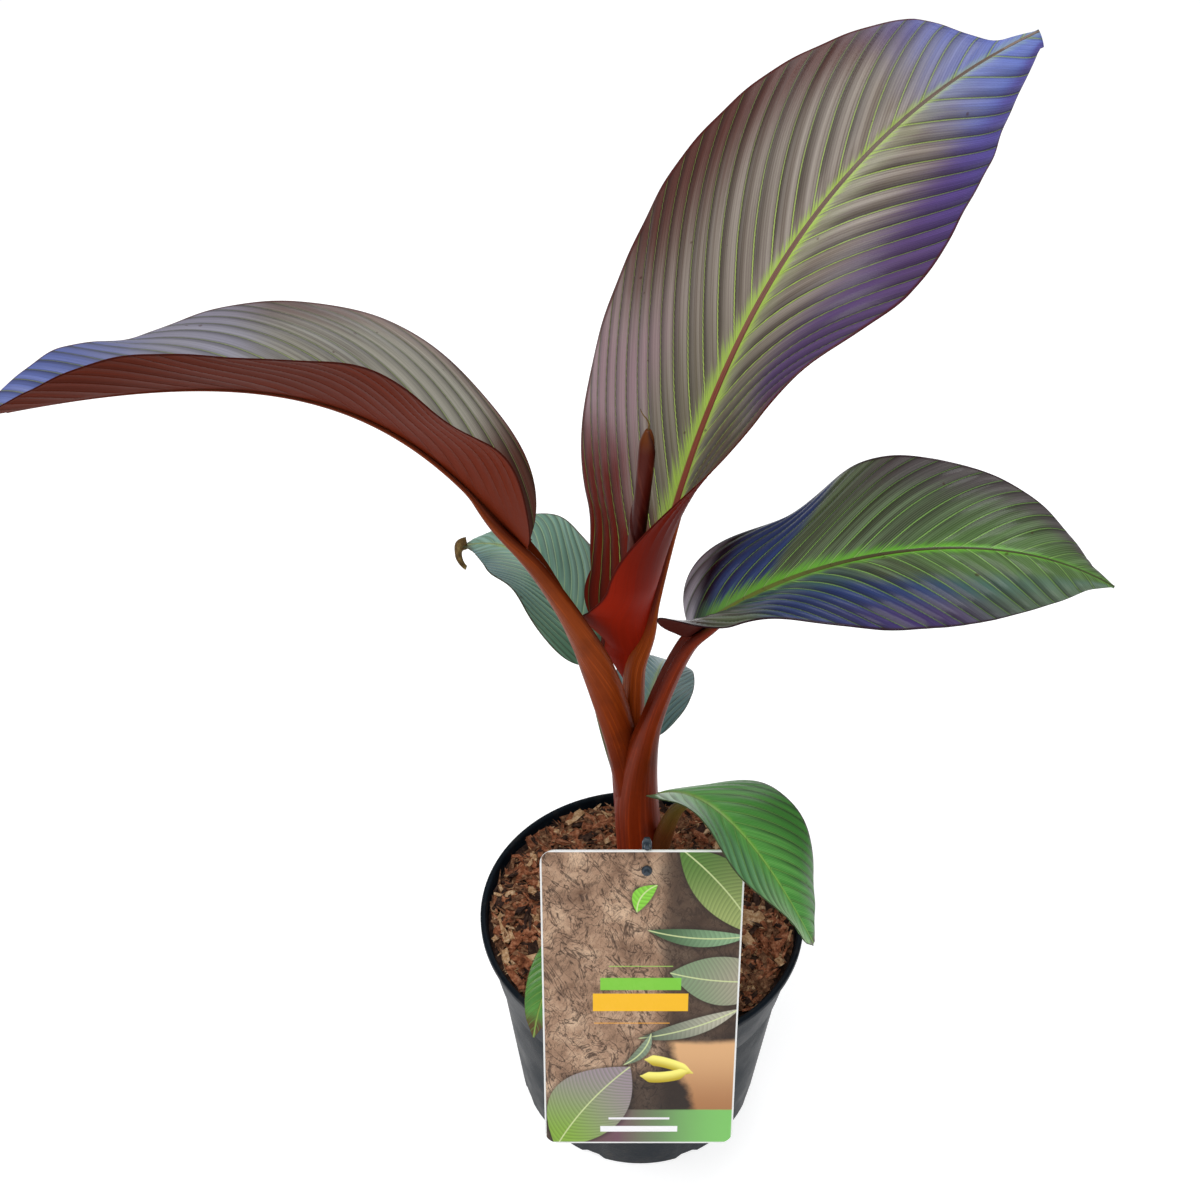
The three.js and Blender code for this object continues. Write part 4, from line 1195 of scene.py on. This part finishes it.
def card_finish():
    """Printed card: a brown mottled ground, veined leaves, fruit, and plain bars on a coloured foot."""
    f = Finish("card_print")
    x, y, z = f.mark("card")
    place = f.vector(x, y)
    grain = f.noise(place, 0.05, 5, 0.65)
    ground = f.ramp(grain, [(0.3, "6a4c38"), (0.5, "a8866c"), (0.7, "d6b698")])
    for scale, lean, depth in ((0.09, 0.5, 0.8), (0.2, -0.3, 0.55), (0.42, 0.9, 0.35)):
        fold = f.noise(f.vector(x + lean * y, y * 0.45 - 0.2 * x), scale, 3, 0.6, 1.6)
        ground = f.blend(f.ease(abs(fold - 0.5), 0.035, 0.0, 0.0, depth), ground, "2a1810")
    colour = f.blend(f.ease(x + 14 * grain, 12, 22, 0, 0.86), ground, "34241a")
    colour = f.blend(f.ease(y - 0.5 * x + 12 * grain, 62, 42, 0, 0.88), colour, "241812")
    tan = f.ease(x + 0.3 * y + 14 * grain, 36, 42) * f.ease(y + 4 * grain, 66, 62)
    colour = f.blend(tan, colour, f.blend(f.ease(y, 20, 60), "a8744a", "d8a878"))
    foot_stops = [(0.0, "5a4a34"), (0.35, "6e4c58"), (0.7, "6c8a5c"), (1.0, "7cc064")]
    foot = f.ramp(f.ease(x + 4 * grain, -44, 46), foot_stops)
    colour = f.blend(f.ease(y + 1.2 * grain, 22, 21) * f.ease(x + 0.5 * y, -38, -36), colour, foot)
    leaves = [
        (-25, 24, 54, 31, 19, "9c8c94", "86ac3c"), (37, 148, -52, 30, 13, "a4b06c", "567c34"),
        (26, 121, 176, 24, 5, "3c5c38", "8cae86"), (39, 97, 176, 26, 14, "7c9470", "b4a494"),
        (24, 70, 200, 26, 5, "5c6c58", "bcb8a4"), (1, 56, 235, 12, 3, "6c7c64", "8c9c84"),
        (0, 144, 58, 9, 4.5, "8ad044", "8ad044"),
    ]
    for cx, cy, turn, length, width, far, near in leaves:
        angle = math.radians(turn)
        run = (x - cx) * math.cos(angle) + (y - cy) * math.sin(angle)
        side = (y - cy) * math.cos(angle) - (x - cx) * math.sin(angle)
        share = run / length
        bow = abs(side + 3 * share * share)
        limit = width * (1 - share * share)
        mask = f.ease(bow, limit, limit - 0.5)
        shadow = f.ease(bow, limit + 3, limit - 1, 0.0, 0.6) * f.ease(abs(share), 1.15, 0.95)
        colour = f.blend(shadow, colour, "140c08")
        ribs = f.maths("FRACT", (run - 0.35 * bow - 0.02 * bow * bow) / 2.2)
        tint = f.blend(f.ease(share + 0.015 * bow, -0.8, 0.9), near, far)
        tint = f.blend(f.ease(ribs, 0.0, 0.9, 0.35, 0.0), tint, paint(near, 0.25))
        tint = f.blend(f.ease(bow, 0.5, 0.2, 0, 0.8), tint, "d2dca0")
        colour = f.blend(mask, colour, tint)
    for cx, cy, bend in ((14, 49, -0.012), (12, 41, 0.015)):
        rise = y - cy + (x - cx) * (0.35 if bend < 0 else -0.12) - (x - cx) * (x - cx) * bend
        half = f.ease(abs(x - cx), 12, 7, 0.6, 3.4)
        inside = f.ease(abs(rise), half, half - 0.5) * f.ease(abs(x - cx), 12, 11.4)
        colour = f.blend(inside, colour, f.blend(f.ease(rise, -3, 2), "b8a01c", "fbf07c"))
    bars = [(0, 95.5, 19, 3.6, "7cc83c"), (0, 85, 22.5, 5.2, "f7bc1c"), (0, 105.5, 15, 0.35, "9acb5a"),
            (-4, 73, 18, 0.35, "f2a82c"), (0, 9, 19, 1.9, "f8f6f8"), (0, 15.5, 15, 0.8, "f0ecf0")]
    for cx, cy, half, thick, code in bars:
        inside = f.ease(abs(x - cx), half, half - 0.3)
        inside = inside * f.ease(abs(y - cy), thick, thick - 0.3)
        colour = f.blend(inside * 0.96, colour, code)
    ends = f.maths("MAXIMUM", f.ease(y, 1.0, 0.6), f.ease(y, 167, 167.4))
    edge = f.maths("MAXIMUM", f.ease(abs(x), 45.0, 45.4), ends)
    colour = f.blend(edge, colour, "e8e8e6")
    colour = f.blend(f.ease(z, 0.6, 0.3), colour, "e6e6e2")
    return f.done(colour, 0.32 + 0.1 * grain, f.bump(grain, 0.00004), Specular_IOR_Level=0.2, Coat_Weight=0.1)


def stake_finish():
    """Dark slate-blue moulded plastic with a fine grain."""
    f = Finish("stake_plastic")
    grain = f.noise(f.place(), 700, 3)
    colour = f.ramp(grain, [(0.3, "1e262e"), (0.7, "34404c")])
    return f.done(colour, 0.42, f.bump(grain, 0.0001), Specular_IOR_Level=0.4)


class PLANT_OT_label(bpy.types.Operator):
    """Makes the plant label: a printed card with rounded corners, its stake and its studs"""
    bl_idname = "plant.label"
    bl_label = "Label"

    def execute(self, context):
        width, height, thick = LABEL["width"], LABEL["height"], LABEL["thickness"]
        bm = bmesh.new()
        stretched = Matrix.Translation((0, height / 2, 0)) @ Matrix.Diagonal((width, height, 1, 1))
        bmesh.ops.create_grid(bm, x_segments=1, y_segments=1, size=0.5, matrix=stretched)
        bmesh.ops.bevel(bm, geom=bm.verts[:], offset=LABEL["corner"], offset_type="OFFSET", segments=10,
                        profile=0.5, affect="VERTICES", material=-1)
        lifted = bmesh.ops.extrude_face_region(bm, geom=bm.faces[:])["geom"]
        top = [item for item in lifted if isinstance(item, bmesh.types.BMVert)]
        bmesh.ops.translate(bm, verts=top, vec=(0, 0, thick))
        bmesh.ops.recalc_face_normals(bm, faces=bm.faces)
        layer = bm.verts.layers.float_vector.new("card")
        for vert in bm.verts:
            vert[layer] = vert.co
        bmesh.ops.transform(bm, matrix=Matrix.Scale(MM, 4) @ label_frame(), verts=bm.verts)
        flat_faces(finish_mesh(bm, "plant_label", [card_finish()], "label", "label_card").data)
        self.make_stake(height, thick)
        return {"FINISHED"}

    def make_stake(self, height, thick):
        """A flat rod with a rounded top behind the card, a peg above its edge and a stud through it."""
        place = label_frame()
        behind = -1.6
        levels = [place @ Vector((2, height + 5, behind)), place @ Vector((2, height - 20, behind - 0.6)),
                  Vector((LABEL["centre"] + 2, -66, SOIL_LEVEL - 45))]
        tables = np.array([tuple(level) for level in levels])

        def bend(across, along):
            angle = np.pi * across
            spots = np.stack([np.interp(along, (0, 0.16, 1), tables[:, k]) for k in range(3)], 1)
            cosine, sine = np.cos(angle), np.sin(angle)
            taper = np.interp(along, (0, 0.012, 0.3, 1), (0.55, 1, 1, 0.45))
            wide = np.sign(cosine) * np.abs(cosine) ** 0.45 * 2.2 * taper
            deep = np.sign(sine) * np.abs(sine) ** 0.45 * 1.2 * taper
            return spots + np.stack((wide, deep, np.zeros_like(wide)), 1), {}

        mesh = bent_tube("label_peg", 36, 60, bend)
        bm = bmesh.new()
        bm.from_mesh(mesh)
        studs = ((height - 10, 2.6, 1.6), (height + 2.5, 1.5, 2.0), (height - 10, 1.4, 3.2))
        for level, radius, depth in studs:
            spot = Matrix.Translation((2, level, thick + LABEL["gap"] + depth / 2))
            made = bmesh.ops.create_cone(bm, cap_ends=True, segments=28, depth=depth, radius1=radius,
                                         radius2=radius * 0.82, matrix=spot)
            verts = made["verts"]
            edges = list({edge for vert in verts for edge in vert.link_edges})
            rims = [edge for edge in edges if len(edge.link_faces) == 2 and edge.calc_face_angle() > 1.0]
            bmesh.ops.transform(bm, matrix=Matrix.Scale(MM, 4) @ place, verts=verts)
            bmesh.ops.bevel(bm, geom=rims, offset=0.3 * MM, offset_type="OFFSET", segments=2, profile=0.5,
                            affect="EDGES", material=-1)
        finish_mesh(bm, "label_peg", [stake_finish()], "stake", "label_stake")


class PLANT_OT_stage(bpy.types.Operator):
    """Makes the pale floor, the soft lights and the camera"""
    bl_idname = "plant.stage"
    bl_label = "Stage"

    def execute(self, context):
        settings = context.scene.plant_stage
        bm = bmesh.new()
        just_below = Matrix.Translation((0, 0, -0.0005))
        bmesh.ops.create_grid(bm, x_segments=8, y_segments=8, size=6, matrix=just_below)
        mesh = bpy.data.meshes.new("floor")
        bm.to_mesh(mesh)
        bm.free()
        f = Finish("floor_paint")
        glow = {"Emission_Strength": 0.75, "Emission_Color": (1, 1, 1, 1)}
        mesh.materials.append(f.done((*settings.floor, 1), 0.9, Specular_IOR_Level=0.1, **glow))
        floor = bpy.data.objects.new("floor", mesh)
        context.scene.collection.objects.link(floor)
        world = bpy.data.worlds.new("soft_sky")
        world.use_nodes = True
        background = world.node_tree.nodes["Background"]
        background.inputs["Color"].default_value = (0.93, 0.96, 1.0, 1)
        background.inputs["Strength"].default_value = settings.sky
        context.scene.world = world
        self.lamp("top_lamp", 44.0, 1.7, (-0.6, -0.5, 2.5), (-0.02, 0.0, 0.3))
        self.lamp("front_lamp", 9.0, 1.2, (0.9, -1.9, 1.3), (0, 0, 0.3))
        self.lamp("back_lamp", 9.0, 1.2, (0.5, 1.9, 1.6), (0, 0, 0.35))
        data = bpy.data.cameras.new("eye")
        data.lens = settings.lens * 1000
        data.sensor_width = 36
        data.clip_start = 0.01
        camera = bpy.data.objects.new("eye", data)
        camera.location = settings.eye
        camera.rotation_euler = (math.pi / 2 - settings.pitch, 0, 0)
        context.scene.collection.objects.link(camera)
        context.scene.camera = camera
        context.scene.view_settings.view_transform = "Standard"
        return {"FINISHED"}

    def lamp(self, name, power, size, place, target):
        """A square soft light turned towards its target."""
        data = bpy.data.lights.new(name, "AREA")
        data.energy = power
        data.size = size
        lamp = bpy.data.objects.new(name, data)
        lamp.location = place
        lamp.rotation_euler = (Vector(target) - Vector(place)).to_track_quat("-Z", "Y").to_euler()
        bpy.context.scene.collection.objects.link(lamp)


class PLANT_PT_panel(bpy.types.Panel):
    """Lists the pieces of the plant in the order in which they are made"""
    bl_label = "Red Banana Plant"
    bl_idname = "PLANT_PT_panel"
    bl_space_type = "VIEW_3D"
    bl_region_type = "UI"
    bl_category = "Plant"

    def draw(self, context):
        for name in SETTINGS:
            group = getattr(context.scene, name)
            box = self.layout.box()
            for key in group.bl_rna.properties.keys():
                if key not in ("rna_type", "name"):
                    box.prop(group, key)
        for operator in OPERATORS:
            self.layout.operator(operator.bl_idname)


OPERATORS = (PLANT_OT_stage, PLANT_OT_pot, PLANT_OT_bark, PLANT_OT_stem, PLANT_OT_leaves, PLANT_OT_spear,
             PLANT_OT_label)


def register():
    for cls in (*SETTINGS.values(), *OPERATORS, PLANT_PT_panel):
        bpy.utils.register_class(cls)
    for name, group in SETTINGS.items():
        setattr(bpy.types.Scene, name, PointerProperty(type=group))


def unregister():
    for name in SETTINGS:
        delattr(bpy.types.Scene, name)
    for cls in reversed((*SETTINGS.values(), *OPERATORS, PLANT_PT_panel)):
        bpy.utils.unregister_class(cls)


def main():
    register()
    bpy.ops.plant.stage()
    bpy.ops.plant.pot()
    bpy.ops.plant.bark()
    bpy.ops.plant.stem()
    bpy.ops.plant.leaves()
    bpy.ops.plant.spear()
    bpy.ops.plant.label()


if __name__ == "__main__":
    main()
